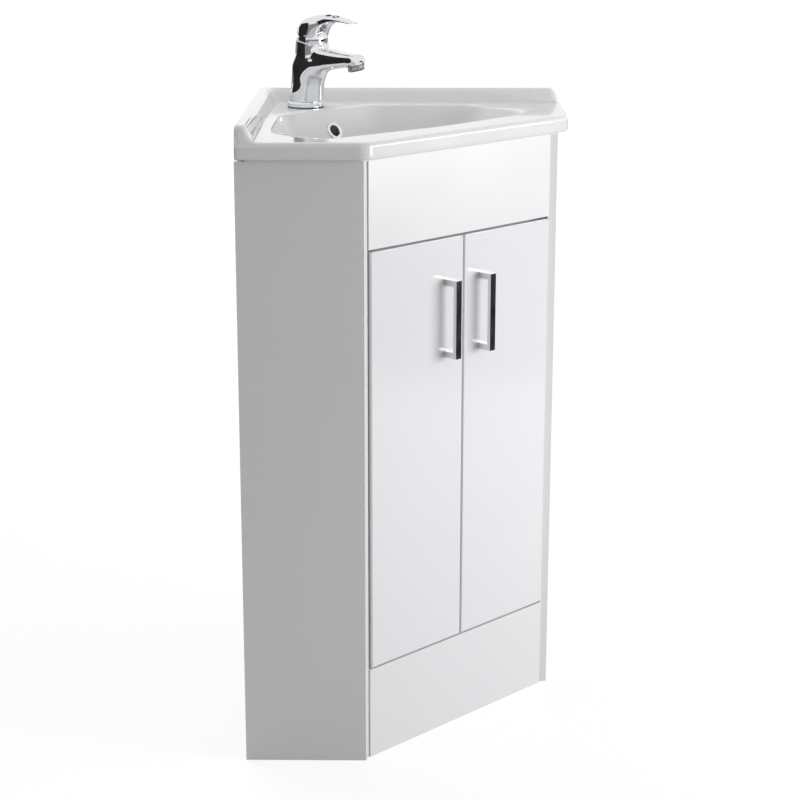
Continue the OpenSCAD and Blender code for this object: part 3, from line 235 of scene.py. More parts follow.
use(glaze, "basin")


# ---- mesh helpers ------------------------------------------------------------

def make(name, verts, faces, mat, body="cabinet", sharp=None, normals=None):
    """Adds a piece: smooth all over, or with edges over sharp degrees kept, or with given normals."""
    mesh = bpy.data.meshes.new(name)
    mesh.from_pydata([tuple(v) for v in verts], [], faces)
    mesh.validate()
    mesh.update()
    mesh.shade_smooth()
    if sharp:
        mesh.set_sharp_from_angle(angle=math.radians(sharp))
    if normals is not None:
        mesh.normals_split_custom_set_from_vertices([tuple(n) for n in normals])
    mesh.materials.append(mat.m)
    obj = bpy.data.objects.new(name, mesh)
    bpy.context.scene.collection.objects.link(obj)
    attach(obj, body)
    return obj


def loop_faces(rows, n):
    """Quads between rows of n points that close on themselves."""
    return [(r * n + i, r * n + (i + 1) % n, (r + 1) * n + (i + 1) % n, (r + 1) * n + i)
            for r in range(rows - 1) for i in range(n)]


def cut(obj, cutters):
    """Takes cutter meshes out of obj and applies the result."""
    for cutter in cutters:
        mod = obj.modifiers.new("cut", "BOOLEAN")
        mod.operation = "DIFFERENCE"
        mod.solver = "EXACT"
        mod.object = cutter
        bpy.context.view_layer.update()
        done = bpy.data.meshes.new_from_object(obj.evaluated_get(bpy.context.evaluated_depsgraph_get()))
        obj.modifiers.clear()
        obj.data = done
        bpy.data.objects.remove(cutter)


def cylinder(radius, depth, at, axis):
    """A cutter about axis, with its middle at this point."""
    mesh = bpy.data.meshes.new("cutter")
    bm = bmesh.new()
    turn = Vector(axis).to_track_quat("Z", "Y").to_matrix().to_4x4()
    bmesh.ops.create_cone(bm, cap_ends=True, segments=ROUND, radius1=radius, radius2=radius, depth=depth,
                          matrix=Matrix.Translation(at) @ turn)
    bm.to_mesh(mesh)
    bm.free()
    obj = bpy.data.objects.new("cutter", mesh)
    bpy.context.scene.collection.objects.link(obj)
    return obj


# ---- basin -------------------------------------------------------------------
# In millimetres. Plan outlines are lists of half-planes: each edge is (nx, ny, c) with
# nx*x + ny*d <= c, d being the depth behind the front plane.

OVERHANG, GAP = 13.5, 1.5                           # past the cabinet, and to the walls
FW, CY = FRONT_W * 1000, CORNER_Y * 1000
DECK = 825.0
CORNER_R, SIDE_R, REAR_R = 27, 2.5, 1.5             # the outline's corners: front, side, rear
CENTRE = np.array([0.0, 150.0])                     # the waste's axis, where all rays start


def basin_edges(s, wall_s=None):
    """The basin's outline, moved in by s, or by wall_s at the walls."""
    w = s if wall_s is None else wall_s
    ret = FW / 2 + (OVERHANG - s) / SIDE
    wall = CY - (GAP + w) / SIDE
    return [(0, -1, OVERHANG - s), (SIDE, -SIDE, ret * SIDE), (SIDE, SIDE, wall * SIDE),
            (-SIDE, SIDE, wall * SIDE), (-SIDE, -SIDE, ret * SIDE)]


def corner_points(edges):
    """Corners of the convex outline, where each edge meets the one before it: anticlockwise from
    the front left."""
    pts = []
    for i, a in enumerate(edges):
        b = edges[i - 1]
        det = b[0] * a[1] - b[1] * a[0]
        pts.append(((b[2] * a[1] - b[1] * a[2]) / det, (b[0] * a[2] - b[2] * a[0]) / det))
    return pts


def rounded(pts, radii, n=14):
    """The closed outline through pts, with each corner rounded in n steps."""
    out = []
    m = len(pts)
    for i in range(m):
        a, p, b = (np.array(pts[k % m], float) for k in (i - 1, i, i + 1))
        u, v = a - p, b - p
        u, v = u / np.linalg.norm(u), v / np.linalg.norm(v)
        half = math.acos(max(-1, min(1, float(u @ v)))) / 2
        r = radii[i]
        mid = (u + v) / np.linalg.norm(u + v)
        c = p + mid * r / math.sin(half)
        start = p + u * r / math.tan(half) - c
        turn = -1 if u[0] * v[1] - u[1] * v[0] > 0 else 1
        sweep = turn * (math.pi - 2 * half)
        for k in range(n + 1):
            t = sweep * k / n
            out.append(c + np.array([start[0] * math.cos(t) - start[1] * math.sin(t),
                                     start[0] * math.sin(t) + start[1] * math.cos(t)]))
    return np.array(out)


def cast(outline, angles):
    """Where the rays from CENTRE at these angles meet the closed outline."""
    p = outline - CENTRE
    q = np.roll(p, -1, axis=0)
    e = q - p
    res = np.zeros((len(angles), 2))
    for i, t in enumerate(angles):
        d = np.array([math.cos(t), math.sin(t)])
        det = d[0] * -e[:, 1] + d[1] * e[:, 0]
        det = np.where(abs(det) < 1e-12, 1e-12, det)
        k = (p[:, 0] * -e[:, 1] + p[:, 1] * e[:, 0]) / det
        w = (d[0] * p[:, 1] - d[1] * p[:, 0]) / det
        ok = (w >= -1e-9) & (w <= 1 + 1e-9) & (k > 0)
        res[i] = CENTRE + d * k[ok].max()
    return res


def basin_outline(s, wall_s=None):
    """The same with rounded corners."""
    fr = max(CORNER_R - s, 2)
    return rounded(corner_points(basin_edges(s, wall_s)), [fr, fr, SIDE_R, REAR_R, SIDE_R])


BOWL_FRONT, BOWL_HALF_W, BOWL_REAR, BOWL_WALL_GAP = 31, 215, 270, 33.5
BOWL_DEPTH, LIP_R, FLOOR_R = 113.0, 8.0, 20.0
DRAFT = 30.0                                        # of the bowl's wall, from upright
SHOULDER, END_DRAFT = 26.0, 1.12                    # wider lip and flatter wall at the two ends
BOW, BOW_R, BOW_LOSS = 15.0, 700, 0.6               # the bowl's front edge; the loss is at the floor
LIP_RS, FLOOR_RS = (44, 60, 36), (12, 16, 14)       # plan corners: front, side, rear
DRAFT_SIN, DRAFT_COS = math.sin(math.radians(DRAFT)), math.cos(math.radians(DRAFT))
LIP_IN = LIP_R * math.sin(math.radians(90 - DRAFT))
LIP_DOWN = LIP_R * (1 - math.cos(math.radians(90 - DRAFT)))
CURVE_DOWN = BOWL_DEPTH - FLOOR_R                   # centre of the floor's curve
CURVE_IN = LIP_IN + (CURVE_DOWN - LIP_DOWN) * math.tan(math.radians(DRAFT)) + FLOOR_R / DRAFT_COS
LIP_STEPS, WALL_STEPS, UNDER_STEPS, FLOOR_STEPS = 12, 22, 8, 10


def bowl_outline(s, e, bow, rs):
    """The bowl's outline, moved in by s, and by e at its two ends."""
    front, half_w, rear = BOWL_FRONT + s, BOWL_HALF_W - e, BOWL_REAR - s
    wall = CY - (BOWL_WALL_GAP + s) / SIDE
    pts = [(-half_w, front + bow), (0, front - bow / 6), (half_w, front + bow), (half_w, wall - half_w),
           (wall - rear, rear), (-(wall - rear), rear), (-half_w, wall - half_w)]
    return rounded(pts, [rs[0], BOW_R, rs[0], rs[1], rs[2], rs[2], rs[1]])


def bowl_ring(down, s, end, grow=0.0):
    """One level of the bowl, or of its outside where grow is the ceramic's thickness."""
    t = s / CURVE_IN
    rs = [a + (b - a) * t + grow for a, b in zip(LIP_RS, FLOOR_RS)]
    return bowl_outline(s - grow, end - grow, BOW * (1 - BOW_LOSS * t), rs), DECK - down


def wall_end(s):
    """How far in the bowl's ends are where its wall is in by s."""
    return SHOULDER + (s - LIP_IN) * END_DRAFT


def bowl_rings(grow):
    """Outlines and heights from the lip down to the flat floor, or of the bowl's outside."""
    rings = []
    if grow == 0:
        for k in range(LIP_STEPS + 1):
            a = math.radians((90 - DRAFT) * k / LIP_STEPS)
            rings.append(bowl_ring(LIP_R * (1 - math.cos(a)), LIP_R * math.sin(a),
                                   SHOULDER * (0.5 - 0.5 * math.cos(math.pi * k / LIP_STEPS))))
    steps = WALL_STEPS if grow == 0 else UNDER_STEPS
    s1 = CURVE_IN - FLOOR_R * DRAFT_COS
    d1 = CURVE_DOWN + FLOOR_R * DRAFT_SIN
    for k in range(1 if grow == 0 else 0, steps):
        t = k / steps
        s = LIP_IN + (s1 - LIP_IN) * t
        down = LIP_DOWN + (d1 - LIP_DOWN) * t
        rings.append(bowl_ring(down + grow * DRAFT_SIN, s, wall_end(s), grow * DRAFT_COS))
    for k in range(FLOOR_STEPS + 1):
        a = math.radians(DRAFT + (90 - DRAFT) * k / FLOOR_STEPS)
        s = CURVE_IN - FLOOR_R * math.cos(a)
        down = CURVE_DOWN + (FLOOR_R + grow) * math.sin(a)
        rings.append(bowl_ring(down, s, wall_end(s), grow * math.cos(a)))
    return rings


UP_H, UP_T, UP_SWEEP, UP_R = 19.5, 13, 12, 2        # upstand: height, thickness, foot's sweep, edge
UP_END, UP_END_R = 4, 13                            # its end: this far in, with this curve
ARRIS_R = 1.2
RIM_W, RIM_H = 6.6, 6                               # the rim's rounded upper edge
VALLEY, VALLEY_IN = 16, 4                           # rounding in the walls' corner


def upstand(dist):
    """Height of the upstand's section at this distance from the basin's wall edge."""
    if dist <= UP_T - UP_R:
        return UP_H
    if dist <= UP_T:
        return UP_H - UP_R + UP_R * math.sqrt(max(0.0, 1 - ((dist - (UP_T - UP_R)) / UP_R) ** 2))
    if dist <= UP_T + UP_SWEEP:
        k = (UP_T + UP_SWEEP - dist) / UP_SWEEP
        return (UP_H - UP_R) * (1 - math.cos(math.pi * k)) / 2
    return 0.0


def wall_round(dist):
    """Rounding of the upstand's arris at the wall."""
    return ARRIS_R * (1 - math.sqrt(max(0.0, 1 - max(0.0, (ARRIS_R - dist) / ARRIS_R) ** 2)))


def end_factor(dist):
    """The upstand's end, at this distance from the basin's outer edge beside the wall."""
    if dist <= UP_END:
        return 0.0
    if dist >= UP_END + UP_END_R:
        return 1.0
    return math.sqrt(1 - ((UP_END + UP_END_R - dist) / UP_END_R) ** 2)


def rim_drop(dist):
    """Rounding of the rim's upper edge."""
    if dist >= RIM_W:
        return 0.0
    k = max(0.0, min(1.0, (RIM_W - dist) / RIM_W))
    return RIM_H * (1 - math.sqrt(1 - k * k))


def edge_distances(pt):
    """Distances to the wall edges and to the return edges."""
    gap = [c - nx * pt[0] - ny * pt[1] for nx, ny, c in basin_edges(0)]
    blend = max(VALLEY - abs(gap[2] - gap[3]), 0.0) / VALLEY
    return max(0.0, min(gap[2], gap[3]) - blend * blend * VALLEY_IN), min(gap[1], gap[4])


# The rays' angles: every point of three outlines, with more between them about RAY_STEP apart,
# less those that come closer than RAY_TURN.
RAY_STEP, RAY_TURN = 4, math.radians(0.3)
marks = []
for outline in (basin_outline(0), basin_outline(20), bowl_outline(0, 0, BOW, LIP_RS)):
    for a, b in zip(outline, np.roll(outline, -1, axis=0)):
        k = max(1, int(np.linalg.norm(b - a) / RAY_STEP))
        for i in range(k):
            p = a + (b - a) * i / k - CENTRE
            marks.append(math.atan2(p[1], p[0]))
marks.sort()
ANGLES = [marks[0]]
for t in marks[1:]:
    if t - ANGLES[-1] > RAY_TURN:
        ANGLES.append(t)
ANGLES = np.array(ANGLES)
N = len(ANGLES)

rows = []                                           # arrays of N points (x, d, z)


def add_row(plan, z):
    rows.append(np.column_stack([plan, np.broadcast_to(z, N)]))


def top_z(plan, dist_rim):
    """Heights of the deck, its upstand and its rim at these points, dist_rim in from the edge."""
    z = []
    for p in plan:
        wall, end = edge_distances(p)
        up = upstand(wall) * end_factor(end)
        up -= wall_round(dist_rim) * min(1.0, up / 4)
        z.append(DECK + up - rim_drop(dist_rim) * max(0.0, 1 - up / 4))
    return np.array(z)


WASTE_R, WASTE_SIDES, WASTE_DIP = 22.5, 64, 0.8     # the waste's hole, and how far the floor dips to it
DECK_STEPS, FLOOR_ROWS = 8, 6
FACE_Z, FACE_R_IN, FACE_R_DOWN = 807.0, 3.2, 3.4    # lower end of the outer face and its rounding
CABINET_TOP = 800.0
DECK_IN = 27                                        # the flat deck ends this far in from the edge
POCKET_Z = 813.0                                    # underside of the deck beside the bowl
POCKET_FRONT, POCKET_SIDE, POCKET_WALL = 23.1, 20, 27   # the hollow there, in from each edge's line
BASIN_WALL = 9.0                                    # the ceramic's thickness
UNDER_Z = 703.0                                     # underside of the floor, at the waste

waste = rounded([(WASTE_R * math.cos(t), CENTRE[1] + WASTE_R * math.sin(t))
                 for t in np.linspace(0, 2 * math.pi, WASTE_SIDES, False)], [8] * WASTE_SIDES, 1)
inside_rings = bowl_rings(0)
floor_plan = cast(inside_rings[-1][0], ANGLES)
hole = cast(waste, ANGLES)
for k in range(FLOOR_ROWS + 1):                     # the floor
    t = k / FLOOR_ROWS
    add_row(hole + (floor_plan - hole) * t, DECK - BOWL_DEPTH - (WASTE_DIP * (1 - t) ** 3))
for outline, z in reversed(inside_rings[:-1]):      # up the bowl's wall and over its lip
    add_row(cast(outline, ANGLES), z)
lip = cast(inside_rings[0][0], ANGLES)
inner = cast(basin_outline(DECK_IN), ANGLES)
for k in range(1, DECK_STEPS + 1):                  # the flat deck
    add_row(lip + (inner - lip) * k / DECK_STEPS, DECK)
for s in (26, 25, 24, 22.5, 21, 19.5, 18, 16.5, 15.2, 14, 13.3, 12.9, 12.4, 11.8, 11, 10, 8.6, 7.4,
          6.6, 5.4, 4.3, 3.2, 2.3, 1.5, 0.9, 0.45, 0.15, 0.0):     # upstand and rim
    plan = cast(basin_outline(s), ANGLES)
    add_row(plan, top_z(plan, s))
edge = cast(basin_outline(0), ANGLES)
top_edge = rows[-1][:, 2].copy()
for t in (0.12, 0.3, 0.55, 0.8):                    # the outer face
    add_row(edge, top_edge + (FACE_Z - top_edge) * t)
for a in range(0, 91, 15):                          # its lower rounding
    r = math.radians(a)
    plan = cast(basin_outline(FACE_R_IN * (1 - math.cos(r)), 0.6 * (1 - math.cos(r))), ANGLES)
    add_row(plan, FACE_Z - FACE_R_DOWN * math.sin(r))
for s, z in ((8.0, 803.5), (13.0, 803.4), (13.9, 802.6), (14.0, CABINET_TOP), (17.0, CABINET_TOP),
             (25.0, CABINET_TOP), (34.0, CABINET_TOP), (36.0, 801.0)):     # the foot on the cabinet
    add_row(cast(basin_outline(s, min(s, s * 0.6 + 2)), ANGLES), z)
pocket_c = FW / 2 * SIDE - POCKET_SIDE, CY * SIDE - POCKET_WALL
pocket = rounded(corner_points(
    [(0, -1, -POCKET_FRONT), (SIDE, -SIDE, pocket_c[0]), (SIDE, SIDE, pocket_c[1]),
     (-SIDE, SIDE, pocket_c[1]), (-SIDE, -SIDE, pocket_c[0])]), [20, 20, 12, 12, 12])
pocket_plan = cast(pocket, ANGLES)
add_row(pocket_plan, 803.0)
add_row(pocket_plan, POCKET_Z - 1.5)
add_row(CENTRE + (pocket_plan - CENTRE) * 0.993, POCKET_Z)
under = [(plan, z) for plan, z in bowl_rings(BASIN_WALL) if z < POCKET_Z - 1]
add_row(cast(under[0][0], ANGLES), POCKET_Z)
for plan, z in under:                               # down the bowl's outside
    add_row(cast(plan, ANGLES), z)
add_row(hole * 0.5 + cast(under[-1][0], ANGLES) * 0.5, UNDER_Z)
add_row(hole, UNDER_Z)
add_row(hole, UNDER_Z + 4)

points = np.concatenate(rows)
verts = np.column_stack([points[:, 0], points[:, 1] - DEPTH_MID * 1000, points[:, 2]]) * MM
faces = loop_faces(len(rows), N)
last = (len(rows) - 1) * N
faces += [(last + i, last + (i + 1) % N, (i + 1) % N, i) for i in range(N)]
basin = make("basin_glazed", verts, faces, glaze)
TAP_HOLE_R, OVERFLOW_R, OVERFLOW_DOWN = 0.0175, 0.0105, 28.5
tilt = math.radians(DRAFT)
overflow_y = (BOWL_REAR - LIP_IN - (OVERFLOW_DOWN - LIP_DOWN) * math.tan(tilt)) * MM - DEPTH_MID
out_of_wall = Vector((0, -math.cos(tilt), math.sin(tilt)))
overflow_at = Vector((0, overflow_y, 0.7965))
cut(basin, [cylinder(TAP_HOLE_R, 0.05, (0, TAP_Y - DEPTH_MID, 0.82), (0, 0, 1)),
            cylinder(OVERFLOW_R, 0.026, overflow_at, out_of_wall)])
basin.data.shade_smooth()
basin.data.set_sharp_from_angle(angle=math.radians(50))
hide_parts("basin")


# ---- tap ---------------------------------------------------------------------
# Body and lever are distance fields in the tap's frame (X forward over the bowl, Z up from the
# deck, millimetres), turned into meshes on a grid.

CL, SL = math.cos(LEAN), math.sin(LEAN)
BALL_H, BALL_R = 96.0, 21.0                         # the ball under the lever, up the leaning axis
BALL = (BALL_H * SL, BALL_H * CL)
BODY_TOP, BODY_FOOT = 93, 8.5
SPOUT_END = 109
OUTLET, OUTLET_TILT = (104, 57), math.radians(16)   # centre of the outlet's face, and its lean
COLLAR_R, OUTLET_R, OUTLET_MOUTH_R = 12.2, 11.05, 12.6
BORE_R, BORE_FLOOR = 14.05, 52                      # for the cartridge
LEVER = 101.0                                       # the lever's reach
CAP_R, CAP_LOW = 17.8, 92                           # inside of the lever's cap, and its lower edge
HEM = math.radians(14)                              # slope of the hood's lower edge over the ball
BOSS_R, BOSS_LOW = 7.5, BALL_H + 6                  # over the spindle
SQUARE, SQUARE_DEPTH = 4.05, 12                     # the spindle's socket
STEP = 0.95                                         # of the grid


def smin(a, b, k):
    """Union of two fields, blended over k."""
    h = np.clip(0.5 + 0.5 * (b - a) / k, 0, 1)
    return b + (a - b) * h - k * h * (1 - h)


def smax(a, b, k):
    """What two fields share, blended over k. A field turned negative is taken away."""
    return -smin(-a, -b, k)


def ease(t):
    return t * t * (3 - 2 * t)


def curve(points):
    """Smooth line of the third degree near the points."""
    xs, ys = zip(*points)
    return np.poly1d(np.polyfit(xs, ys, 3))


body_r = curve([(-10, 24.4), (12, 23.9), (40, 22.4), (62, 21.8), (80, 22.2), (93, 22.8)])
spout_top = curve([(32, 84.9), (43, 83.9), (51, 82.9), (61, 81.8), (73, 80.7), (86, 79.9), (97, 79.4),
                   (108, 79.2)])
spout_low = curve([(30, 50.5), (61, 56.2), (80, 59.6), (97, 63.0), (108, 65.6)])
spout_w = curve([(28.5, 14.2), (43, 15.2), (61, 14.6), (73, 14), (86, 13.4), (97, 13), (109, 12.6)])


def ball_distance(x, y, z):
    return np.sqrt((x - BALL[0]) ** 2 + y ** 2 + (z - BALL[1]) ** 2)


def body_field(x, y, z):
    """The body: a leaning column, a spout, the outlet's collar and its bores."""
    lx, lz = x * CL - z * SL, x * SL + z * CL
    d = smax(np.hypot(lx, y) - body_r(np.clip(lz, -10, 95)), lz - BODY_TOP, 1.4)
    sx = np.clip(x, 24, SPOUT_END)
    top, low, half = spout_top(sx), spout_low(sx), spout_w(sx)
    v, w = np.abs(z - (top + low) / 2) / ((top - low) / 2), np.abs(y) / half
    g = np.maximum((v ** 3 + w ** 3) ** (1 / 3), 1e-3)
    slope = np.sqrt((v * v / (g * g) / ((top - low) / 2)) ** 2 + (w * w / (g * g) / half) ** 2)
    spout = (g - 1) / np.maximum(slope, 1e-2)
    spout = smax(spout, x - SPOUT_END + 0.12 * (z - 72), 5)
    spout = smax(spout, 6 - x, 2)
    blend = np.clip((76 - z) / 18, 0, 1)
    d = smin(d, spout, 9 + 13 * ease(blend))
    qx, qz = x - OUTLET[0], z - OUTLET[1]
    along = -qx * math.sin(OUTLET_TILT) + qz * math.cos(OUTLET_TILT)
    off = np.hypot(qx * math.cos(OUTLET_TILT) + qz * math.sin(OUTLET_TILT), y)
    d = smin(d, smax(off - COLLAR_R, np.abs(along - 10) - 4.5, 1.2), 3)
    d = smax(d, -smax(off - OUTLET_R, along - 10, 0.5), 0.6)
    d = smax(d, -smax(off - OUTLET_MOUTH_R, along - 5.5, 0.5), 0.8)
    d = smax(d, BODY_FOOT - z, 1)
    d = smax(d, BALL_R + 0.4 - ball_distance(x, y, z), 0.9)
    return smax(d, -smax(np.hypot(lx, y) - BORE_R, BORE_FLOOR - lz, 0.5), 0.8)


def bezier(c, t):
    return ((1 - t) ** 3)[:, None] * c[0] + (3 * (1 - t) ** 2 * t)[:, None] * c[1] \
        + (3 * (1 - t) * t * t)[:, None] * c[2] + (t ** 3)[:, None] * c[3]


# the lever's side outline: over its top to the tip, back along its underside, and down the cap
lever_line = np.concatenate([
    bezier(np.array([[-9, 98], [-6, 127], [42, 138], [LEVER, 121.5]]), np.linspace(0, 1, 41)),
    bezier(np.array([[LEVER, 119.2], [LEVER - 22, 122.6], [62, 124], [52, 120.2]]), np.linspace(0, 1, 17)),
    bezier(np.array([[51.4, 120], [41, 115], [35, 107], [31, 98]]), np.linspace(0, 1, 17)),
    np.array([[10, 92], [-9, 92]])])
lever_w = curve([(0, 14), (18, 14), (40, 13), (62, 10.8), (82, 9.2), (97, 8.4)])     # half its width


def polygon_distance(x, z, line):
    """Signed distance to a closed polygon, negative inside."""
    best = np.full(x.shape, 1e9)
    inside = np.zeros(x.shape, bool)
    for a, b in zip(line, np.roll(line, -1, axis=0)):
        e = b - a
        if e @ e < 1e-9:
            continue
        px, pz = x - a[0], z - a[1]
        t = np.clip((px * e[0] + pz * e[1]) / (e @ e), 0, 1)
        best = np.minimum(best, (px - t * e[0]) ** 2 + (pz - t * e[1]) ** 2)
        if e[1]:
            inside ^= ((a[1] > z) != (b[1] > z)) & (x < e[0] * (z - a[1]) / e[1] + a[0])
    return np.where(inside, -1, 1) * np.sqrt(best)


AIM = math.radians(33)                              # the index plug looks up by this from the neck
INDEX_AT = 22.0                                     # bottom of its hole from the ball's centre
INDEX_R, INDEX_HOLE_R = 3.45, 3.7
SLOTS_AT = (54.0, 67.5)                             # centres of the two slots in the lever
SLOT_L, SLOT_W = 4.4, 7.2                           # half their length and half their width
SLOT_EDGE = 0.4                                     # the painted shade starts this far outside them


def index_frame(x, y, z):
    """Distance along and away from the index plug's axis."""
    dx, dz = x - BALL[0], z - BALL[1]
    return dx * math.cos(AIM) + dz * math.sin(AIM), np.hypot(-dx * math.sin(AIM) + dz * math.cos(AIM), y)


def lever_field(x, y, z):
    """The lever: a ball's cap and a hood with a blade, the cap's inside, two slots, the index's hole."""
    x, y, z = np.broadcast_arrays(x, y, z)
    lx, lz = x * CL - z * SL, x * SL + z * CL
    r = ball_distance(x, y, z)
    arch = ease(np.clip((x - 22) / 26, 0, 1))       # the blade is arched across, the cap only crowned
    crown = 0.010 * np.clip((z - 106) / 8, 0, 1) * (1 - arch) + 0.027 * arch
    side = polygon_distance(x, z + crown * y * y, lever_line)
    plan = smin(np.hypot(lx, y) - BALL_R - 0.3, smax(np.abs(y) - lever_w(np.clip(x, 0, 97)), 5 - x, 2), 10)
    plan = smax(plan, x - LEVER + 0.5, 5)
    fade = np.clip((56 - x) / 24, 0, 1)
    hood = smax(side, plan, 3 + 5 * ease(fade))
    hood = smax(hood, 2 - lx * math.sin(HEM) - (lz - BALL_H) * math.cos(HEM), 0.8)
    d = smin(smax(r - BALL_R, CAP_LOW - lz, 1.0), hood, 0.8)
    boss = smax(np.hypot(lx, y) - BOSS_R, BOSS_LOW - lz, 0.5)
    d = smax(d, -smax(r - CAP_R, -boss, 0.5), 0.5)
    d = smax(d, -np.maximum(np.maximum(np.abs(lx), np.abs(y)) - SQUARE, lz - BALL_H - SQUARE_DEPTH), 0.3)
    for sx in SLOTS_AT:
        d = smax(d, -smax(smax(np.abs(x - sx) - SLOT_L, np.abs(y) - SLOT_W, 2), 100 - z, 1), 0.9)
    along, off = index_frame(x, y, z)
    return smax(d, -smax(off - INDEX_HOLE_R, INDEX_AT - along, 0.3), 0.5)


def net(field, lo, hi, step):
    """Mesh of the zero surface, with its normals: one vertex per grid cell that the surface
    crosses, then moved onto it."""
    axes = [np.arange(a, b + step, step) for a, b in zip(lo, hi)]
    f = field(axes[0][:, None, None], axes[1][None, :, None], axes[2][None, None, :])
    f = np.broadcast_to(f, [len(a) for a in axes])
    cells = tuple(len(a) - 1 for a in axes)
    total, count = np.zeros(cells + (3,)), np.zeros(cells)
    for ax in range(3):
        o1, o2 = (ax + 1) % 3, (ax + 2) % 3
        for i in (0, 1):
            for j in (0, 1):
                cut0 = [slice(0, -1)] * 3
                cut0[o1] = slice(i, cells[o1] + i)
                cut0[o2] = slice(j, cells[o2] + j)
                cut1 = list(cut0)
                cut1[ax] = slice(1, None)
                a, b = f[tuple(cut0)], f[tuple(cut1)]
                hit = (a < 0) != (b < 0)
                total[..., ax] += np.where(hit, a / np.where(hit, a - b, 1), 0)
                total[..., o1] += i * hit
                total[..., o2] += j * hit
                count += hit
    active = count > 0
    index = np.full(cells, -1)
    index[active] = np.arange(active.sum())
    verts = (np.argwhere(active) + total[active] / count[active][:, None]) * step
    verts = verts + np.array([a[0] for a in axes])
    faces = []
    for ax in range(3):
        o1, o2 = (ax + 1) % 3, (ax + 2) % 3
        cut0 = [slice(1, -1)] * 3
        cut0[ax] = slice(0, -1)
        cut1 = list(cut0)
        cut1[ax] = slice(1, None)
        a, b = f[tuple(cut0)] < 0, f[tuple(cut1)] < 0
        for flag, order in ((a & ~b, 1), (b & ~a, -1)):
            at = np.argwhere(flag)
            at[:, o1] += 1
            at[:, o2] += 1
            quad = []
            for i, j in ((0, 0), (1, 0), (1, 1), (0, 1))[::order]:
                c = at.copy()
                c[:, o1] -= 1 - i
                c[:, o2] -= 1 - j
                quad.append(index[c[:, 0], c[:, 1], c[:, 2]])
            faces.append(np.stack(quad, 1))
    faces = np.concatenate(faces)
    h = 0.04                                        # reach of the slope's measure
    for turn in range(3):
        x, y, z = verts.T
        g = np.stack([field(x + h, y, z) - field(x - h, y, z), field(x, y + h, z) - field(x, y - h, z),
                      field(x, y, z + h) - field(x, y, z - h)], 1) / (2 * h)
        size = np.maximum(np.linalg.norm(g, axis=1), 0.2)[:, None]
        if turn < 2:
            verts = verts - np.clip(field(x, y, z)[:, None] / size, -0.5, 0.5) * g / size
    return verts, faces, g / size


def to_scene(v):
    """Points of the tap's frame in the scene."""
    return np.column_stack([v[:, 1], (TAP_Y - DEPTH_MID) / MM - v[:, 0], v[:, 2] + DECK]) * MM


def tap_piece(name, field, lo, hi, body, node):
    v, f, n = net(field, lo, hi, STEP)
    normals = np.column_stack([n[:, 1], -n[:, 0], n[:, 2]])
    piece = make(name, to_scene(v), f.tolist(), chrome, body, normals=normals)
    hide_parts(node)
    return v, piece


tap_piece("tap_body_cast", body_field, (-26, -26, 6), (112, 26, 98), "cabinet", "tap_body")
lever_points, lever = tap_piece("tap_lever_cast", lever_field, (-9, -24, 88), (104, 24, 134),
                                "tap_lever", "tap_lever")
lever.data.materials.append(slot_painted_shade.m)
for face in lever.data.polygons:                    # painted shade: the two slots' upright inside faces are painted black
    fx, fy, fz = lever_points[list(face.vertices)].mean(axis=0)
    in_slot = any(abs(fx - sx) < SLOT_L + SLOT_EDGE and abs(fy) < SLOT_W + SLOT_EDGE for sx in SLOTS_AT)
    if in_slot and abs(face.normal.z) < 0.8:
        face.material_index = 1


def turned(name, profile, at, axis, mat, body="cabinet", ribs=0, rib_h=0.0, knurled=()):
    """Turned piece about axis in the tap's frame; the points named in knurled carry ribs."""
    n = 6 * ribs if ribs else ROUND
    axis = np.array(axis, float) / np.linalg.norm(axis)
    across = np.array([axis[2], 0, -axis[0]])
    out_of = np.array([0.0, 1.0, 0.0])
    t = np.arange(n) * 2 * math.pi / n
    wave = np.clip(np.cos(ribs * t) * 1.8, -1, 1) * rib_h if ribs else 0 * t
    pts = []
    for i, (r, h) in enumerate(profile):
        rr = r + (wave if i in knurled else 0 * t)
        ring = np.outer(rr * np.cos(t), across) + np.outer(rr * np.sin(t), out_of)
        pts.append(np.array(at) + axis * h + ring)
    caps = [tuple(range(n)), tuple((len(profile) - 1) * n + i for i in reversed(range(n)))]
    faces = [tuple(reversed(f)) for f in loop_faces(len(profile), n)] + caps
    return make(name, to_scene(np.concatenate(pts)), faces, mat, body, sharp=35)


aerator = turned("aerator_knurled",
                 [(0.4, 2.6), (8.6, 2.6), (8.7, 0.5), (9.2, 0.0), (10.5, 0.0), (11.1, 0.5), (11.2, 1.1),
                  (11.2, 4.3), (11.1, 4.9), (10.7, 5.3), (10.7, 9.8), (0.4, 9.8)],
                 (OUTLET[0], 0, OUTLET[1]), (-math.sin(OUTLET_TILT), 0, math.cos(OUTLET_TILT)),
                 dark_chrome, ribs=30, rib_h=0.35, knurled=(6, 7))
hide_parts("tap_aerator")
along = np.linspace(INDEX_AT + 1, INDEX_AT + 12, 111)
beside = lever_field(BALL[0] + along * math.cos(AIM), np.full(111, 4.4), BALL[1] + along * math.sin(AIM))
index_top = along[np.argmax(beside > 0)]            # where the neck's surface lies beside the hole
plug = turned("index_plug",
              [(0.3, -1.8), (INDEX_R, -1.8), (INDEX_R, 0.1), (3.1, 0.45), (2.2, 0.62), (0.3, 0.7)],
              (BALL[0] + index_top * math.cos(AIM), 0, BALL[1] + index_top * math.sin(AIM)),
              (math.cos(AIM), 0, math.sin(AIM)), index_plastic, "tap_lever")
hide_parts("tap_index")


def soften(name, width, segments=3):
    """Rounds a CAD node's edges and shades it smooth between them."""
    obj = nodes[name]
    mod = obj.modifiers.new("edge", "BEVEL")
    mod.width = width
    mod.segments = segments
    mod.limit_method = "ANGLE"
    mod.angle_limit = math.radians(35)
    mod.harden_normals = True


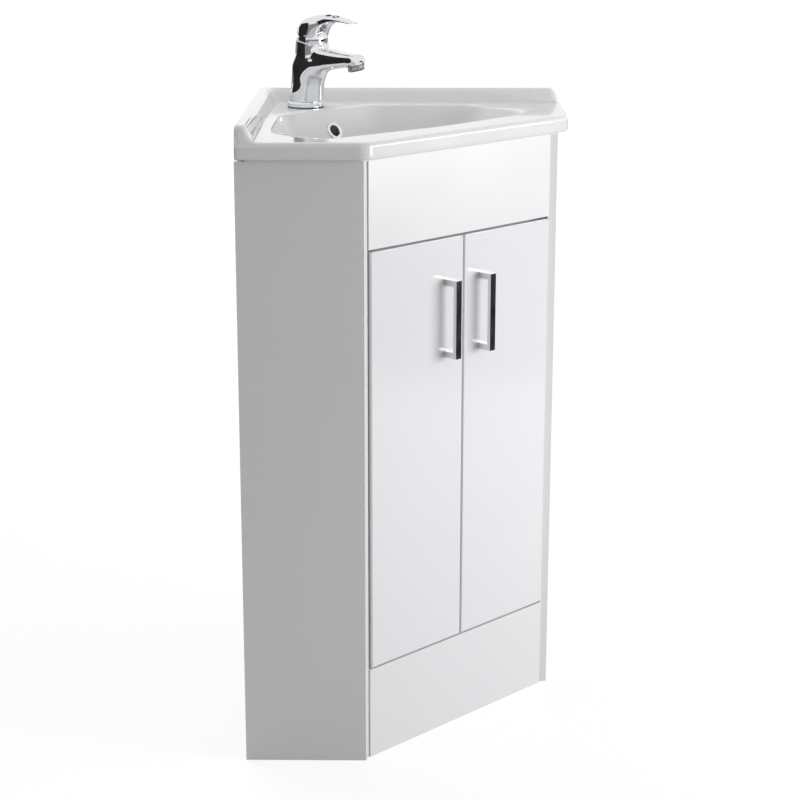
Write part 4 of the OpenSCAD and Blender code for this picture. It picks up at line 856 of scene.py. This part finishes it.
for name in ("left_return_panel", "right_return_panel", "left_wall_panel", "right_wall_panel",
             "plinth_panel", "fascia_panel", "base_panel", "shelf", "front_rail"):
    soften(name, 0.0005)
for name in ("left_door", "right_door"):
    soften(name, 0.0007)
for name in ("left_handle", "right_handle"):
    soften(name, 0.0009, 4)


# ---- stage, light and camera ------------------------------------------------

AMBIENT = 0.435

scene = bpy.context.scene
scene.view_settings.view_transform = "Standard"

# a white room for the camera and for reflections, and a dimmer one for the light that it gives
world = bpy.data.worlds.new("studio")
scene.world = world
world.use_nodes = True
nt = world.node_tree
nt.nodes.clear()
out = nt.nodes.new("ShaderNodeOutputWorld")
lit, seen = (nt.nodes.new("ShaderNodeBackground") for _ in range(2))
for background, strength in ((lit, AMBIENT), (seen, 1.0)):
    background.inputs["Color"].default_value = (1, 1, 1, 1)
    background.inputs["Strength"].default_value = strength
path = nt.nodes.new("ShaderNodeLightPath")
white_rays = path.outputs["Is Camera Ray"]
for kind in ("Is Transmission Ray", "Is Glossy Ray"):
    either = nt.nodes.new("ShaderNodeMath")
    either.operation = "MAXIMUM"
    nt.links.new(white_rays, either.inputs[0])
    nt.links.new(path.outputs[kind], either.inputs[1])
    white_rays = either.outputs[0]
blend = nt.nodes.new("ShaderNodeMixShader")
nt.links.new(white_rays, blend.inputs[0])
nt.links.new(lit.outputs[0], blend.inputs[1])
nt.links.new(seen.outputs[0], blend.inputs[2])
nt.links.new(blend.outputs[0], out.inputs["Surface"])


def aim(at, target):
    return (Vector(target) - Vector(at)).to_track_quat("Z", "Y").to_euler()


def plane(name, size, at, look=None):
    mesh = bpy.data.meshes.new(name)
    w, h = size[0] / 2, size[1] / 2
    mesh.from_pydata([(-w, -h, 0), (w, -h, 0), (w, h, 0), (-w, h, 0)], [], [(0, 1, 2, 3)])
    obj = bpy.data.objects.new(name, mesh)
    scene.collection.objects.link(obj)
    obj.location = at
    if look is not None:
        obj.rotation_euler = aim(at, look)
    return obj


# The floor is a mid grey that the camera sees lifted to white, with the object's shadow left in it.
# The lift grows from LIFT_NEAR to LIFT_FAR between these distances from the middle.
LIFT_NEAR, LIFT_FAR, NEAR, FAR = 0.80, 0.97, 0.9, 3.5
floor = plane("floor", (40, 40), (0, 0, 0))
floor_mat = Mat("floor", (0.5, 0.5, 0.5), 0.75)
floor_mat.bump(floor_mat.noise(200, 2), 0.02, 0.0005)
nt = floor_mat.nt
far = floor_mat.add("ShaderNodeVectorMath", [("Vector", floor_mat.coord)], operation="LENGTH")
glow = floor_mat.remap(far.outputs["Value"], LIFT_NEAR, LIFT_FAR, NEAR, FAR)
lift = floor_mat.add("ShaderNodeEmission", [("Strength", glow)])
dim = floor_mat.add("ShaderNodeBsdfDiffuse")
dim.inputs["Color"].default_value = (0.25, 0.25, 0.25, 1)
both = floor_mat.add("ShaderNodeAddShader", [(0, lift.outputs[0]), (1, dim.outputs[0])])
eye = floor_mat.add("ShaderNodeLightPath")
pick = floor_mat.add("ShaderNodeMixShader", [(0, eye.outputs["Is Camera Ray"]),
                                             (1, floor_mat.bsdf.outputs[0]), (2, both.outputs[0])])
nt.links.new(pick.outputs[0], nt.nodes["Material Output"].inputs["Surface"])
floor.data.materials.append(floor_mat.m)


def black_card(name, size, at, look):
    """A flag beside the set: only polished surfaces see it."""
    card = plane(name, size, at, look)
    card.visible_camera = card.visible_diffuse = card.visible_shadow = card.visible_transmission = False
    mat = Mat(name, (0.012, 0.012, 0.013), 0.9)
    mat.vary_rough(mat.noise(4, 2), 0.8, 0.95)
    card.data.materials.append(mat.m)


black_card("card_right", (1.6, 1.0), (1.35, -1.45, 0.35), (0, -0.2, 0.6))
black_card("card_left", (2.4, 1.4), (-1.2, 1.2, 0.75), (0, 0.1, 0.9))


def area(name, at, look, size, power):
    data = bpy.data.lights.new(name, "AREA")
    data.shape = "RECTANGLE"
    data.size, data.size_y = size
    data.energy = power
    obj = bpy.data.objects.new(name, data)
    scene.collection.objects.link(obj)
    obj.location = at
    obj.rotation_euler = aim(look, at)
    return obj


# reflections don't see the wide light above and behind, and have a thin strip in its place
REAR, REAR_LOOK = (0.1, 1.05, 2.05), (0, 0, 0.82)
area("key", (1.10, -1.98, 0.82), (0, -0.1, 0.5), (1.5, 0.9), 34)
area("top", REAR, REAR_LOOK, (1.4, 0.8), 15).visible_glossy = False
area("strip", REAR, REAR_LOOK, (1.0, 0.1), 1.5)

# The photograph's viewpoint, fitted with the cabinet's left front corner as its origin and X
# along the left return panel.
SENSOR, FOCAL_PX, PHOTO_PX = 36, 1877.1, 800        # millimetres, and the photograph's pixels
EYE_X, EYE_Y, EYE_Z = 0.0596, -2.2768, 1.1484
YAW, PITCH_DOWN = 0.63 - 45.0, 14.72
cam_data = bpy.data.cameras.new("camera")
cam = bpy.data.objects.new("camera", cam_data)
scene.collection.objects.link(cam)
cam_data.sensor_width = SENSOR
cam_data.lens = SENSOR * FOCAL_PX / PHOTO_PX
cam_data.shift_x = 0.010
cam_data.shift_y = -0.05
cam.location = ((EYE_X + EYE_Y) * SIDE - FRONT_W / 2, -(EYE_X - EYE_Y) * SIDE - DEPTH_MID, EYE_Z)
cam.rotation_euler = (math.radians(90 - PITCH_DOWN), 0, math.radians(YAW))
scene.camera = cam
